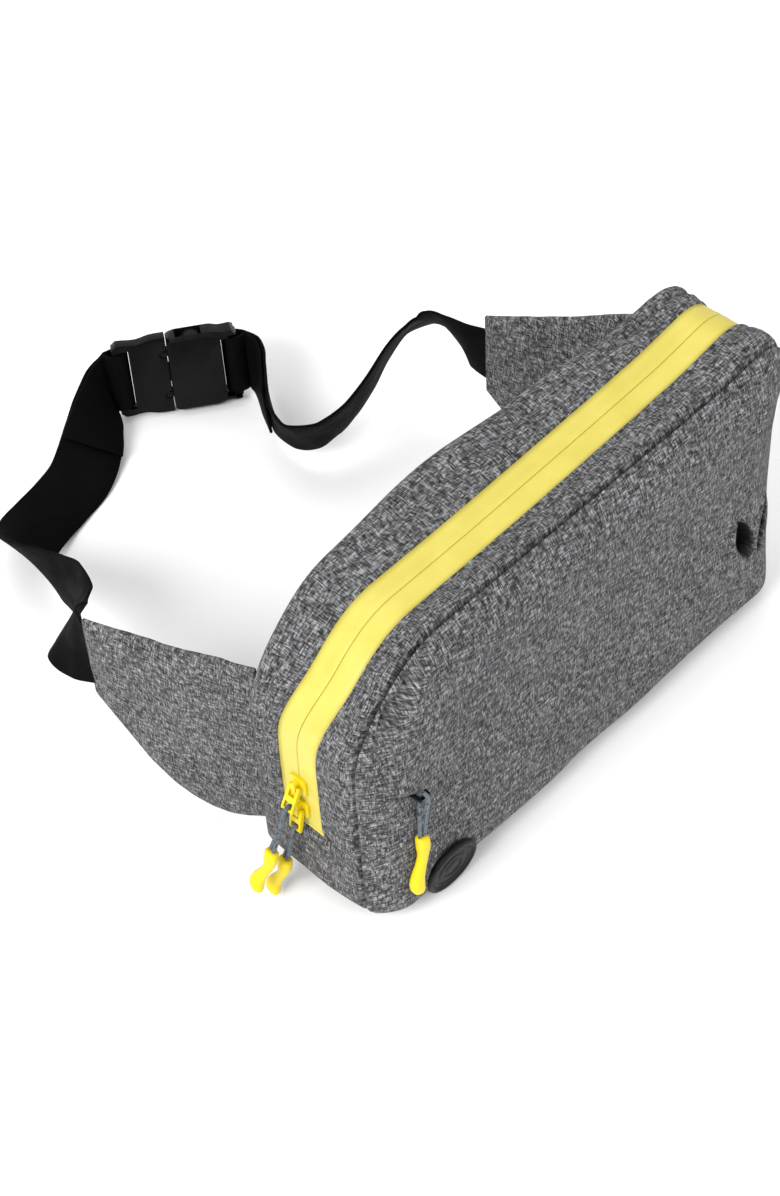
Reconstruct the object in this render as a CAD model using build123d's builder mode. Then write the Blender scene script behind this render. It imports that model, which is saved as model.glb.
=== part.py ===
from build123d import *
import os
from math import atan2, cos, degrees, hypot, pi, radians, sin, tan

os.makedirs("parts", exist_ok=True)

# A waist pack on a webbing belt, millimetres. Origin at the centre of the bag's bottom,
# +X along the bag to the wearer's left, -Y out of the bag's front, +Z up.

# ---- driving dimensions: bag
LEFT_X, RIGHT_X = -158.0, 155.0
HEIGHT = 174.0
DEPTH = 65.0
TOP_LEFT_RADIUS = 60.0
TOP_RIGHT_RADIUS = 26.0
BOTTOM_RADIUS = 20.0
FABRIC = 1.6
FRONT_BULGE = 12.5
FRONT_INSET = 5.0
BASE_SEAM_Z = 54.0
PAD_BULGE = 11.0

# ---- driving dimensions: main zip
ZIP_Y = 3.0
TAPE_HALF = 13.5
TAPE_THICK = 1.0
TAPE_RECESS = 0.3
CHAIN_GAP = 1.4
COIL_WIDTH = 3.2
COIL_THICK = 1.8
UPPER_SLIDER_Z = 84.0
LOWER_SLIDER_Z = 67.0

# ---- driving dimensions: sliders and pulls
SLIDER_LENGTH = 11.0
SLIDER_WIDTH = 10.8
PIN_STANDOFF = 4.0
PIN_RADIUS = 1.0
PULLER_LENGTH = 13.0
PULLER_WIDTH = 7.4
EYE_WIDTH = 5.0
CORD_DIAMETER = 2.2
UPPER_CORD_DROP = 28.0
LOWER_CORD_DROP = 24.0
POCKET_CORD_DROP = 26.0
GRIP_LENGTH = 28.0
POCKET_GRIP_LENGTH = 38.0
GRIP_RADIUS = 4.2

# ---- driving dimensions: belt
WEB_WIDTH = 38.0
WEB_THICK = 1.8
WING_LENGTH = 105.0
WING_THICK = 9.0
WING_ROOT_LOW = 22.0
LEFT_ROOT_HIGH, RIGHT_ROOT_HIGH = 136.0, 156.0
WING_SAG = ((18.0, 10.0), (44.0, 5.0), (70.0, 17.0))
WING_TIP_LOW, WING_TIP_HIGH = 52.0, 108.0
WING_FOAM_INSET = 1.4
LEFT_PIVOT = (-151.0, 39.0)
RIGHT_PIVOT = (151.0, 39.0)
LEFT_WING_ANGLE = 100.0
RIGHT_WING_ANGLE = 102.5

FRONT_Y = -DEPTH / 2
BACK_Y = DEPTH / 2
FACE_Y = FRONT_Y - FRONT_BULGE
TAPE_FRONT_Y = ZIP_Y - TAPE_HALF
TAPE_REAR_Y = ZIP_Y + TAPE_HALF


def save(part, name):
    part.label = name
    export_step(part, f"parts/{name}.step")


def outline(y, inset):
    """The bag seen from the front, drawn on the plane at y and set in by inset."""
    with BuildSketch(Plane.XZ.offset(-y)) as shape:
        with Locations(((LEFT_X + RIGHT_X) / 2, HEIGHT / 2)):
            Rectangle(RIGHT_X - LEFT_X - 2 * inset, HEIGHT - 2 * inset)
        corners = shape.vertices().sort_by(Axis.Y)
        top_corners = corners[2:].sort_by(Axis.X)
        fillet(top_corners[0], TOP_LEFT_RADIUS - inset)
        top_corners = shape.vertices().sort_by(Axis.X)[-2:].sort_by(Axis.Y)
        fillet(top_corners[-1], TOP_RIGHT_RADIUS - inset)
        fillet(shape.vertices().sort_by(Axis.Y)[:2], BOTTOM_RADIUS - inset)
    return shape.sketch


def strip(y_front, y_rear, inset, thick, z_low, z_high):
    """A band of the gusset between two depths and two heights, following the outline."""
    outer = outline(y_rear, inset)
    inner = outline(y_rear, inset + thick)
    with BuildPart() as band:
        extrude(outer, amount=y_rear - y_front)
        extrude(inner, amount=y_rear - y_front, mode=Mode.SUBTRACT)
        with Locations((0, 0, (z_low + z_high) / 2)):
            Box(4 * RIGHT_X, 2 * DEPTH, z_high - z_low, mode=Mode.INTERSECT)
    return band.part


# ---- bag shell
ABOVE = 2 * HEIGHT
save(strip(FRONT_Y, BACK_Y, 0, FABRIC, -1, BASE_SEAM_Z), "base_gusset")
save(strip(TAPE_REAR_Y, BACK_Y, 0, FABRIC, BASE_SEAM_Z, ABOVE), "rear_gusset")
save(strip(FRONT_Y, TAPE_FRONT_Y, 0, FABRIC, BASE_SEAM_Z, ABOVE), "front_gusset")

back_outline = outline(BACK_Y + FABRIC, 0)
with BuildPart() as back_panel:
    extrude(back_outline, amount=FABRIC)
save(back_panel.part, "back_panel")

# ---- padded panel on the wearer's side: a cover sewn over foam
PAD_WIDTH, PAD_HEIGHT, PAD_CENTRE = 184.0, 146.0, (-2.0, 87.0)
PAD_COVER = 1.4
PAD_FACE_Y = BACK_Y + FABRIC + PAD_BULGE


def pad_block(inset, y_face):
    """The padded panel's form, from the back panel out to y_face."""
    with BuildPart() as block:
        with BuildSketch(Plane.XZ.offset(-BACK_Y - FABRIC)):
            with Locations(PAD_CENTRE):
                RectangleRounded(PAD_WIDTH - 2 * inset, PAD_HEIGHT - 2 * inset, 30 - inset)
        extrude(amount=-(y_face - BACK_Y - FABRIC), taper=30)
    return block.part


back_pad_foam = pad_block(PAD_COVER * 1.7, PAD_FACE_Y - PAD_COVER)
pad_form = pad_block(0, PAD_FACE_Y)
save(back_pad_foam, "back_pad_foam")
with BuildPart() as back_pad_cover:
    add(pad_form)
    add(back_pad_foam, mode=Mode.SUBTRACT)
save(back_pad_cover.part, "back_pad_cover")

# ---- main zip: two tapes with their coils, parted by the chain gap that the sliders' necks run in
REAR_TAPE = (ZIP_Y + CHAIN_GAP / 2, TAPE_REAR_Y)
FRONT_TAPE = (TAPE_FRONT_Y, ZIP_Y - CHAIN_GAP / 2)
save(strip(*REAR_TAPE, TAPE_RECESS, TAPE_THICK, BASE_SEAM_Z, ABOVE), "rear_zip_tape")
save(strip(*FRONT_TAPE, TAPE_RECESS, TAPE_THICK, BASE_SEAM_Z, ABOVE), "front_zip_tape")
COIL_INSET = TAPE_RECESS + TAPE_THICK
REAR_COIL = (ZIP_Y + CHAIN_GAP / 2, ZIP_Y + CHAIN_GAP / 2 + COIL_WIDTH)
FRONT_COIL = (ZIP_Y - CHAIN_GAP / 2 - COIL_WIDTH, ZIP_Y - CHAIN_GAP / 2)
save(strip(*REAR_COIL, COIL_INSET, COIL_THICK, BASE_SEAM_Z, ABOVE), "rear_zip_coil")
save(strip(*FRONT_COIL, COIL_INSET, COIL_THICK, BASE_SEAM_Z, ABOVE), "front_zip_coil")

TAB_Z = BASE_SEAM_Z - 1.5
with BuildPart() as zip_end_tabs:
    with Locations((LEFT_X - 0.6, ZIP_Y, TAB_Z), (RIGHT_X + 0.6, ZIP_Y, TAB_Z)):
        Box(1.2, 2 * TAPE_HALF, 5.0)
save(zip_end_tabs.part, "zip_end_tabs")

# ---- front pocket: a puffed front panel with a slanted opening at each end
LEFT_SLIT = ((-126.5, 87.5), (-144.0, 103.3))
RIGHT_SLIT = ((118.0, 60.0), (139.0, 88.0))
LEFT_SLIT_WIDTH = 7.0
RIGHT_SLIT_WIDTH = 10.0


def front_block(inset, y_face):
    """The front panel's form, from the front seam out to y_face."""
    seam = outline(FRONT_Y, inset)
    with BuildPart() as block:
        extrude(seam, amount=FRONT_Y - y_face, taper=degrees(atan2(FRONT_INSET, FRONT_BULGE)))
    return block.part


def middle(ends):
    (ax, az), (bx, bz) = ends
    return (ax + bx) / 2, (az + bz) / 2


def slope(ends):
    (ax, az), (bx, bz) = ends
    return degrees(atan2(bz - az, bx - ax))


def reach(ends):
    (ax, az), (bx, bz) = ends
    return hypot(bx - ax, bz - az)


def slit_plane(ends, y):
    """A plane at depth y, facing the front, with x along the slit from its inner end outwards."""
    x, z = middle(ends)
    angle = radians(slope(ends))
    return Plane(origin=(x, y, z), x_dir=(cos(angle), 0, sin(angle)), z_dir=(0, -1, 0))


front_form = front_block(0, FACE_Y)
front_hollow = front_block(FABRIC, FACE_Y + FABRIC)
with BuildPart() as front_panel:
    add(front_form)
    fillet(front_panel.faces().sort_by(Axis.Y)[0].edges(), 4.0)
    add(front_hollow, mode=Mode.SUBTRACT)
    with BuildSketch(slit_plane(LEFT_SLIT, FACE_Y - 2)):
        SlotOverall(reach(LEFT_SLIT) + LEFT_SLIT_WIDTH, LEFT_SLIT_WIDTH)
    extrude(amount=-6, mode=Mode.SUBTRACT)
    with BuildSketch(slit_plane(RIGHT_SLIT, FACE_Y - 2)):
        SlotOverall(reach(RIGHT_SLIT) + RIGHT_SLIT_WIDTH, RIGHT_SLIT_WIDTH)
    extrude(amount=-6, mode=Mode.SUBTRACT)
save(front_panel.part, "front_panel")

# The wall between the main compartment and the front pocket.
divider_outline = outline(FRONT_Y + 1.2, FABRIC)
with BuildPart() as pocket_divider:
    extrude(divider_outline, amount=1.2)
save(pocket_divider.part, "pocket_divider")

# The pocket's black lining on the front of that wall.
lining_outline = outline(FRONT_Y, 4.0)
with BuildPart() as pocket_lining:
    extrude(lining_outline, amount=0.8)
save(pocket_lining.part, "pocket_lining")

# ---- pocket zip behind the left slit
POCKET_TAPE_LENGTH = 22.0
POCKET_TAPE_HALF = 6.0
POCKET_GAP = 1.4
POCKET_ZIP_Y = FACE_Y + FABRIC
for side, name in ((1, "upper_pocket_tape"), (-1, "lower_pocket_tape")):
    with BuildPart() as pocket_tape:
        with BuildSketch(slit_plane(LEFT_SLIT, POCKET_ZIP_Y)):
            with Locations((0, side * (POCKET_GAP + POCKET_TAPE_HALF) / 2)):
                Rectangle(POCKET_TAPE_LENGTH, POCKET_TAPE_HALF)
        extrude(amount=-0.8)
        with BuildSketch(slit_plane(LEFT_SLIT, POCKET_ZIP_Y + 0.8)):
            with Locations((0, side * (POCKET_GAP / 2 + 1.1))):
                Rectangle(POCKET_TAPE_LENGTH, 2.2)
        extrude(amount=-1.4)
    save(pocket_tape.part, name)

POCKET_SLIDER_X, POCKET_SLIDER_Z = LEFT_SLIT[0]
POCKET_BAR_Y = FACE_Y - 5.0


def pocket_slider_plane(y):
    angle = radians(slope(LEFT_SLIT))
    origin = (POCKET_SLIDER_X - 1.5, y, POCKET_SLIDER_Z + 1.5)
    return Plane(origin=origin, x_dir=(cos(angle), 0, sin(angle)), z_dir=(0, -1, 0))


with BuildPart() as pocket_slider:
    with BuildSketch(pocket_slider_plane(POCKET_ZIP_Y - 0.4)):
        RectangleRounded(9.0, 5.6, 1.5)
    extrude(amount=2.0)
    with BuildSketch(pocket_slider_plane(POCKET_ZIP_Y - 0.4)):
        Rectangle(6.0, 0.7)
    extrude(amount=-3.2)
    with BuildSketch(pocket_slider_plane(POCKET_ZIP_Y + 2.6)):
        RectangleRounded(9.0, 5.6, 1.5)
    extrude(amount=-1.2)
    with Locations((POCKET_SLIDER_X - 4.3, POCKET_BAR_Y + 1.8, POCKET_SLIDER_Z + 1.5)):
        Box(1.2, 5.4, 2.2)
    with Locations((POCKET_SLIDER_X + 1.3, POCKET_BAR_Y + 1.8, POCKET_SLIDER_Z + 1.5)):
        Box(1.2, 5.4, 2.2)
    with Locations(Location((POCKET_SLIDER_X - 1.5, POCKET_BAR_Y, POCKET_SLIDER_Z + 1.5), (0, 90, 0))):
        Cylinder(0.9, 6.6)
save(pocket_slider.part, "pocket_slider")

# ---- rubber badge, low on the front panel
BADGE_RADIUS = 17.0
BADGE_X, BADGE_Z = -112.0, 27.0
with BuildPart() as badge:
    with BuildSketch(Plane.XZ.offset(-FACE_Y)):
        with Locations((BADGE_X, BADGE_Z)):
            Circle(BADGE_RADIUS)
    extrude(amount=1.6)
    with BuildSketch(Plane.XZ.offset(-FACE_Y + 1.6)):
        with Locations((BADGE_X, BADGE_Z)):
            Circle(BADGE_RADIUS)
            Circle(BADGE_RADIUS - 2.0, mode=Mode.SUBTRACT)
            Circle(BADGE_RADIUS - 7.0)
            Circle(BADGE_RADIUS - 8.5, mode=Mode.SUBTRACT)
    extrude(amount=0.8)
save(badge.part, "badge")


# ---- sliders on the left end, each with a hinged puller, a cord loop and a moulded grip
def end_plane(z, standoff):
    """A plane on the bag's left end: x towards the front, y up, z outwards."""
    return Plane(origin=(LEFT_X - standoff, ZIP_Y, z), x_dir=(0, -1, 0), z_dir=(-1, 0, 0))


def tilted_plane(z, tilt):
    """The end plane moved out to the puller's pin and turned outwards by tilt degrees."""
    out = (-cos(radians(tilt)), 0, sin(radians(tilt)))
    return Plane(origin=(LEFT_X - PIN_STANDOFF, ZIP_Y, z), x_dir=(0, -1, 0), z_dir=out)


def make_slider(z):
    """Outer plate with a pierced bridge, a thin neck and an inner plate."""
    with BuildPart() as slider:
        with BuildSketch(end_plane(z, 0.2)):
            RectangleRounded(SLIDER_WIDTH, SLIDER_LENGTH, 2.5)
        extrude(amount=2.0)
        with BuildSketch(end_plane(z, 2.0)):
            RectangleRounded(3.0, 8.0, 0.8)
        extrude(amount=3.6)
        with BuildSketch(Plane.XZ.offset(-ZIP_Y - 5)):
            with Locations((LEFT_X - PIN_STANDOFF, z)):
                Circle(PIN_RADIUS + 0.05)
        extrude(amount=10, mode=Mode.SUBTRACT)
        with BuildSketch(end_plane(z, 0.3)):
            Rectangle(0.8, 8.0)
        extrude(amount=-4.2)
        with BuildSketch(end_plane(z, -3.6)):
            RectangleRounded(SLIDER_WIDTH, SLIDER_LENGTH, 2.5)
        extrude(amount=-1.6)
    return slider.part


def make_puller(z, tilt):
    """A forked finger on a pin through the bridge, with an eye and a round bar at its foot."""
    frame = tilted_plane(z, tilt)
    pin = frame.location * Location((0, 0, 0), (0, 90, 0))
    bar = frame.location * Location((0, -PULLER_LENGTH, 0), (0, 90, 0))
    with BuildPart() as puller:
        with BuildSketch(frame.offset(-1.1)):
            with Locations((0, -PULLER_LENGTH / 2 + 0.45)):
                Rectangle(PULLER_WIDTH, PULLER_LENGTH + 0.9)
            with Locations((0, -1.9)):
                Rectangle(4.0, 6.6, mode=Mode.SUBTRACT)
            with Locations((0, -PULLER_LENGTH + 2.6)):
                Rectangle(EYE_WIDTH, 4.2, mode=Mode.SUBTRACT)
            with Locations((0, -PULLER_LENGTH)):
                Rectangle(PULLER_WIDTH, 1.0, mode=Mode.SUBTRACT)
        extrude(amount=2.2)
        with Locations(pin):
            Cylinder(PIN_RADIUS, PULLER_WIDTH)
        with Locations(bar):
            Cylinder(0.9, PULLER_WIDTH)
    return puller.part


def pull_frame(z, puller_tilt, pull_tilt, splay):
    """Origin on the puller's foot bar: y back up the pull, z outwards, splay turning it to the rear."""
    bar = tilted_plane(z, puller_tilt).from_local_coords((0, -PULLER_LENGTH, 0))
    out = Vector(-cos(radians(pull_tilt)), 0, sin(radians(pull_tilt)))
    across = Vector(0, -1, 0).rotate(Axis((0, 0, 0), out), -splay)
    return Plane(origin=bar, x_dir=across, z_dir=out)


def cord_route(drop):
    """One strand rises from the grip's mouth, turns over the bar and comes back beside itself."""
    return (
        (1.3, 0.2 - drop, 0.3),
        (1.3, -drop * 0.6, 0.8),
        (0.5, -3.4, 2.3),
        (0, 2.4, 2.5),
        (0, 2.4, -2.5),
        (-0.5, -3.4, -2.3),
        (-1.3, -drop * 0.6, -0.8),
        (-1.3, 0.2 - drop, -0.3),
    )


def fillet_radii(points):
    """Each corner's radius: 0.45 of its shorter run over the tangent of half its turn."""
    radii = []
    for before, corner, after in zip(points, points[1:], points[2:]):
        run_in = Vector(*corner) - Vector(*before)
        run_out = Vector(*after) - Vector(*corner)
        turn = run_in.get_angle(run_out)
        radii.append(0.45 * min(run_in.length, run_out.length) / tan(radians(turn) / 2))
    return radii


def make_cord(frame, drop, name):
    """The cord loop as one tube along straight runs and tangent arcs."""
    radii = fillet_radii(cord_route(drop))
    points = [frame.from_local_coords(point) for point in cord_route(drop)]
    with BuildPart() as cord:
        with BuildLine() as route:
            FilletPolyline(*points, radius=radii)
        start = Plane(origin=route.wires()[0] @ 0, z_dir=route.wires()[0] % 0)
        with BuildSketch(start):
            Circle(CORD_DIAMETER / 2)
        sweep()
    length = route.wires()[0].length
    expected = pi * CORD_DIAMETER**2 / 4 * length
    print(name, "radii", [round(r, 1) for r in radii], "length", round(length, 1))
    print(name, "volume", round(cord.part.volume, 1), "expected", round(expected, 1))
    return cord.part


def make_grip(frame, drop, length):
    """A moulded grip: narrow mouth, waist, and a rounded bulb at its foot."""
    section = Plane(origin=frame.from_local_coords((0, -drop, 0)), x_dir=frame.x_dir, z_dir=frame.z_dir)
    waist = GRIP_RADIUS * 0.74
    with BuildPart() as grip:
        with BuildSketch(section):
            with BuildLine():
                Line((0, 0), (GRIP_RADIUS * 0.78, 0))
                Spline(
                    (GRIP_RADIUS * 0.78, 0),
                    (GRIP_RADIUS * 0.92, -4.0),
                    (waist, -length * 0.45),
                    (GRIP_RADIUS, -length * 0.80),
                    (0, -length),
                    tangents=((0.1, -1), (-1, 0)),
                )
                Line((0, -length), (0, 0))
            make_face()
        revolve(axis=Axis(section.origin, section.y_dir))
    return grip.part


# slider height, the puller's lean outwards, the pull's lean outwards, its splay to the rear, cord drop
PULLS = (
    ("upper", UPPER_SLIDER_Z, 28.0, 21.0, 7.0, UPPER_CORD_DROP),
    ("lower", LOWER_SLIDER_Z, 10.0, 13.0, 10.0, LOWER_CORD_DROP),
)
for name, height, puller_tilt, pull_tilt, splay, drop in PULLS:
    save(make_slider(height), f"{name}_slider")
    save(make_puller(height, puller_tilt), f"{name}_puller")
    frame = pull_frame(height, puller_tilt, pull_tilt, splay)
    save(make_cord(frame, drop, name), f"{name}_cord")
    save(make_grip(frame, drop, GRIP_LENGTH), f"{name}_grip")

POCKET_PULL_TILT = 3.0
POCKET_PULL_SPLAY = 9.0
pocket_out = Vector(0, -cos(radians(POCKET_PULL_TILT)), sin(radians(POCKET_PULL_TILT)))
pocket_frame = Plane(
    origin=(POCKET_SLIDER_X - 1.5, POCKET_BAR_Y, POCKET_SLIDER_Z + 1.5),
    x_dir=Vector(1, 0, 0).rotate(Axis((0, 0, 0), pocket_out), -POCKET_PULL_SPLAY),
    z_dir=pocket_out,
)
save(make_cord(pocket_frame, POCKET_CORD_DROP, "pocket"), "pocket_cord")
save(make_grip(pocket_frame, POCKET_CORD_DROP, POCKET_GRIP_LENGTH), "pocket_grip")

# ---- side-release buckle on the belt's far side, standing on its edge and leaning back a little
BUCKLE_CENTRE = (41.5, 310.0, 27.3)
BUCKLE_LEAN = 10.0
BUCKLE_THICK = 14.0
SOCKET_MOUTH, SOCKET_END = -4.4, 37.0
CAVITY_END = 24.0
CAVITY_HALF_WIDTH = 21.8
WINDOW = (1.0, 16.5)
PLUG_END = -37.0
SLOT_WIDTH = 40.0
pivot_to_buckle = (BUCKLE_CENTRE[0] - LEFT_PIVOT[0], BUCKLE_CENTRE[1] - LEFT_PIVOT[1])
arm_radius = hypot(*pivot_to_buckle)
buckle_x = (pivot_to_buckle[1] / arm_radius, -pivot_to_buckle[0] / arm_radius, 0)
buckle_inward = (-pivot_to_buckle[0] / arm_radius, -pivot_to_buckle[1] / arm_radius)
BUCKLE = Plane(
    origin=BUCKLE_CENTRE,
    x_dir=buckle_x,
    z_dir=(
        buckle_inward[0] * cos(radians(BUCKLE_LEAN)),
        buckle_inward[1] * cos(radians(BUCKLE_LEAN)),
        sin(radians(BUCKLE_LEAN)),
    ),
)


def buckle_box(x_low, x_high, width, thick, y=0.0, z=0.0):
    """A block in the buckle's own axes, between two stations along it."""
    block = Box(x_high - x_low, width, thick)
    return BUCKLE.location * Location(((x_low + x_high) / 2, y, z)) * block


socket_cuts = [
    buckle_box(SOCKET_MOUTH - 1, CAVITY_END, 2 * CAVITY_HALF_WIDTH, 9.6),
    buckle_box(*WINDOW, 60, 9.6),
    buckle_box(27, 32, SLOT_WIDTH, 20),
    buckle_box(32, 40, 44, 6, z=6.4),
    buckle_box(32, 40, 44, 6, z=-6.4),
]
with BuildPart() as buckle_socket:
    with BuildSketch(BUCKLE.offset(-BUCKLE_THICK / 2)):
        with BuildLine():
            Polyline((SOCKET_MOUTH, -22), (SOCKET_MOUTH, 22), (1, 25.5), (20, 25.5))
            Spline((20, 25.5), (27, 24), (34, 24.2), tangents=((1, 0), (1, 0)))
            Polyline((34, 24.2), (SOCKET_END, 21), (SOCKET_END, -21), (34, -24.2))
            Spline((34, -24.2), (27, -24), (20, -25.5), tangents=((-1, 0), (-1, 0)))
            Polyline((20, -25.5), (1, -25.5), (SOCKET_MOUTH, -22))
        make_face()
    extrude(amount=BUCKLE_THICK)
    chamfer(buckle_socket.edges().filter_by(lambda e: abs(e.length - 19) < 0.01), 2.2)
    for cut in socket_cuts:
        add(cut, mode=Mode.SUBTRACT)
save(buckle_socket.part, "buckle_socket")

# The plug: a body with a bar for the webbing, a central tongue and hinged side prongs.
PRONG_ROOT = (-7.0, 14.0)
plug_cuts = [
    buckle_box(-31.7, -27.3, SLOT_WIDTH, 20),
    buckle_box(-7.0, -2.0, 5, 20, y=PRONG_ROOT[1]),
    buckle_box(-7.0, -2.0, 5, 20, y=-PRONG_ROOT[1]),
]
with BuildPart() as buckle_plug:
    with BuildSketch(BUCKLE.offset(-3.6)):
        with BuildLine():
            Polyline((-5, -25.5), (-5, 25.5), (-11, 25.5))
            Spline((-11, 25.5), (-22, 23.6), (-34, 24.5), tangents=((-1, 0), (-1, 0)))
            Polyline((-34, 24.5), (PLUG_END, 22), (PLUG_END, -22), (-34, -24.5))
            Spline((-34, -24.5), (-22, -23.6), (-11, -25.5), tangents=((1, 0), (1, 0)))
            Line((-11, -25.5), (-5, -25.5))
        make_face()
    extrude(amount=7.2)
    for cut in plug_cuts:
        add(cut, mode=Mode.SUBTRACT)
    with BuildSketch(BUCKLE.offset(-10)):
        with Locations((PRONG_ROOT[0], PRONG_ROOT[1]), (PRONG_ROOT[0], -PRONG_ROOT[1])):
            Circle(2.5)
    extrude(amount=20, mode=Mode.SUBTRACT)
    with BuildSketch(BUCKLE.offset(-2.2)):
        with BuildLine():
            Polyline((-6, -5.5), (-6, 5.5), (14, 5.5), (20, 2.5), (20, -2.5), (14, -5.5), (-6, -5.5))
        make_face()
    extrude(amount=4.4)
save(buckle_plug.part, "buckle_plug")


def make_prong(side):
    """A side prong: round root, slim arm and a button that fills the socket's window."""
    with BuildPart() as prong:
        with BuildSketch(BUCKLE.offset(-3.4)):
            with Locations((PRONG_ROOT[0], side * PRONG_ROOT[1])):
                Circle(2.1)
            with BuildLine():
                Polyline((PRONG_ROOT[0], side * 12.4), (PRONG_ROOT[0], side * 15.6), (-1, side * 16.2))
                Polyline((-1, side * 16.2), (2.4, side * 18.4), (3.6, side * 21.8))
                Spline(
                    (3.6, side * 21.8),
                    (9.2, side * 24.6),
                    (15.4, side * 23.2),
                    tangents=((0.8, side * 0.6), (0.9, -side * 0.5)),
                )
                Polyline((15.4, side * 23.2), (15.4, side * 20.6), (19.5, side * 15.2))
                Polyline((19.5, side * 15.2), (17.5, side * 13.6), (8.0, side * 13.4))
                Line((8.0, side * 13.4), (PRONG_ROOT[0], side * 12.4))
            make_face()
        extrude(amount=6.8)
    return prong.part


save(make_prong(1), "top_prong")
save(make_prong(-1), "bottom_prong")

# ---- wings: padded panels hinged at the bag's back corners
def wing_plane(pivot, angle):
    """Vertical plane through the pivot: x out along the wing, y up."""
    direction = (cos(radians(angle)), sin(radians(angle)), 0)
    return Plane(origin=(*pivot, 0), x_dir=direction, z_dir=(direction[1], -direction[0], 0))


def wing_form(plane, inset, root_high):
    """A tapered panel with a sagging lower edge, a half-round root about the pivot and softened edges."""
    half = WING_THICK / 2 - inset
    root = -WING_THICK / 2 + inset
    tip = WING_LENGTH - inset
    rise = inset * 1.6
    root_foot = (root, WING_ROOT_LOW + rise)
    tip_foot = (tip, WING_TIP_LOW + rise)
    with BuildPart() as form:
        with BuildSketch(plane.offset(-half)):
            with BuildLine():
                Polyline(root_foot, (root, root_high - rise), (tip, WING_TIP_HIGH - rise), tip_foot)
                Spline(root_foot, *[(x, z + rise) for x, z in WING_SAG], tip_foot)
            make_face()
        extrude(amount=2 * half)
        upright_edges = form.edges().filter_by(Axis.Z)
        root_edges = upright_edges.sort_by(lambda e: plane.to_local_coords(e.center()).X)[:2]
        fillet(root_edges, half - 0.05)
    return form.part


wings = (
    ("left", LEFT_PIVOT, LEFT_WING_ANGLE, LEFT_ROOT_HIGH),
    ("right", RIGHT_PIVOT, RIGHT_WING_ANGLE, RIGHT_ROOT_HIGH),
)
for name, pivot, angle, root_high in wings:
    plane = wing_plane(pivot, angle)
    foam = wing_form(plane, WING_FOAM_INSET, root_high)
    form = wing_form(plane, 0, root_high)
    with BuildPart() as wing_cover:
        add(form)
        add(foam, mode=Mode.SUBTRACT)
    save(wing_cover.part, f"{name}_wing_cover")
    save(foam, f"{name}_wing_foam")

# ---- webbing: stations (x, y, z, lean), from each wing's tip to the buckle.
# Lean is in degrees from standing on edge, positive where the top edge lies outwards.
LEFT_STATIONS = (
    (-168, 157, 77, -20),
    (-160, 172, 70, -40),
    (-146, 184, 62, -34),
    (-133, 197, 54, -12),
    (-126, 213, 45, -4),
    (-123, 232, 37, 4),
    (-120, 251, 30, 20),
    (-114, 269, 23, 42),
    (-101, 283, 15, 62),
    (-84, 292, 9, 72),
    (-65, 298, 6.4, 75),
    (-46, 303, 7.5, 72),
    (-29, 311, 14, 60),
    (-15, 321, 21, 40),
    (-3, 330, 26, 20),
)
RIGHT_STATIONS = (
    (127, 155, 80, -10),
    (130, 168, 79, -24),
    (133, 180, 78, -38),
    (130, 190, 76, -44),
    (120, 196, 72, -36),
    (105, 197, 64, -24),
    (88, 195, 54, -20),
    (71, 195, 45, -24),
    (57, 200, 37, -30),
    (47, 211, 31, -30),
    (47, 228, 28, -18),
    (54, 244, 27.3, -4),
    (64, 258, 27.3, 2),
    (73, 270, 27.3, 6),
    (77, 279, 27.3, 8),
)


def tip_plane(pivot, angle):
    """The webbing's cross-section where it leaves a wing's tip."""
    plane = wing_plane(pivot, angle)
    origin = plane.from_local_coords((WING_LENGTH + 0.6, (WING_TIP_LOW + WING_TIP_HIGH) / 2, 0))
    return Plane(origin=origin, x_dir=(0, 0, 1), z_dir=plane.x_dir)


def web_planes(start, stations, side, end):
    """Cross-sections along a run of webbing between the two planes given.

    Each has x across the webbing's width, y through its thickness and z along the run.
    """
    points = [start.origin] + [Vector(*station[:3]) for station in stations] + [end.origin]
    planes = [start]
    for i, station in enumerate(stations):
        along = (points[i + 2] - points[i]).normalized()
        out = Vector(-side * along.Y, side * along.X, 0).normalized()
        up = along.cross(out) * side
        lean = radians(station[3])
        across = up * cos(lean) + out * sin(lean)
        planes.append(Plane(origin=points[i + 1], x_dir=across, z_dir=along))
    return [*planes, end]


def make_web(planes):
    """A ruled run of webbing through its cross-sections."""
    with BuildPart() as web:
        with BuildSketch(*planes):
            Rectangle(WEB_WIDTH, WEB_THICK)
        loft(ruled=True)
    return web.part


def across_plane(x, z, heading):
    """A cross-section square to the buckle's axis, at local station x and depth z."""
    origin = BUCKLE.from_local_coords((x, 0, z))
    return Plane(origin=origin, x_dir=BUCKLE.y_dir, z_dir=BUCKLE.x_dir * heading)


def layered(plane, step):
    """A cross-section moved through the webbing's thickness by step."""
    return Plane(origin=plane.origin + plane.y_dir * step, x_dir=plane.x_dir, z_dir=plane.z_dir)


# The webbing turns round the buckle's end bar; both legs close to a small gap beyond it.
LEG_GAP = 0.6
LEG_END = 5.0


def make_loop(x_bar, heading):
    """The turn of webbing round a bar whose outer face is at local station x_bar."""
    near, far = LEG_GAP / 2, LEG_GAP / 2 + WEB_THICK
    outer = ((0.5, 5.7), (-6.9, 5.7), (-7.5, 5.0), (-7.5, -5.0), (-6.9, -5.7), (0.5, -5.7))
    inner = ((0.5, -3.9), (-5.7, -3.9), (-5.7, 3.9), (0.5, 3.9))
    legs = ((LEG_END, far), (LEG_END, -far), (LEG_END, -near), (LEG_END, near))
    profile = (legs[0], *outer, legs[1], legs[2], *inner, legs[3], legs[0])
    base = Plane(
        origin=BUCKLE.from_local_coords((x_bar, -WEB_WIDTH / 2, 0)),
        x_dir=BUCKLE.x_dir * heading,
        z_dir=BUCKLE.y_dir,
    )
    with BuildPart() as loop:
        with BuildSketch(base):
            with BuildLine():
                Polyline(*profile)
            make_face()
        extrude(amount=WEB_WIDTH)
    return loop.part


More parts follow.
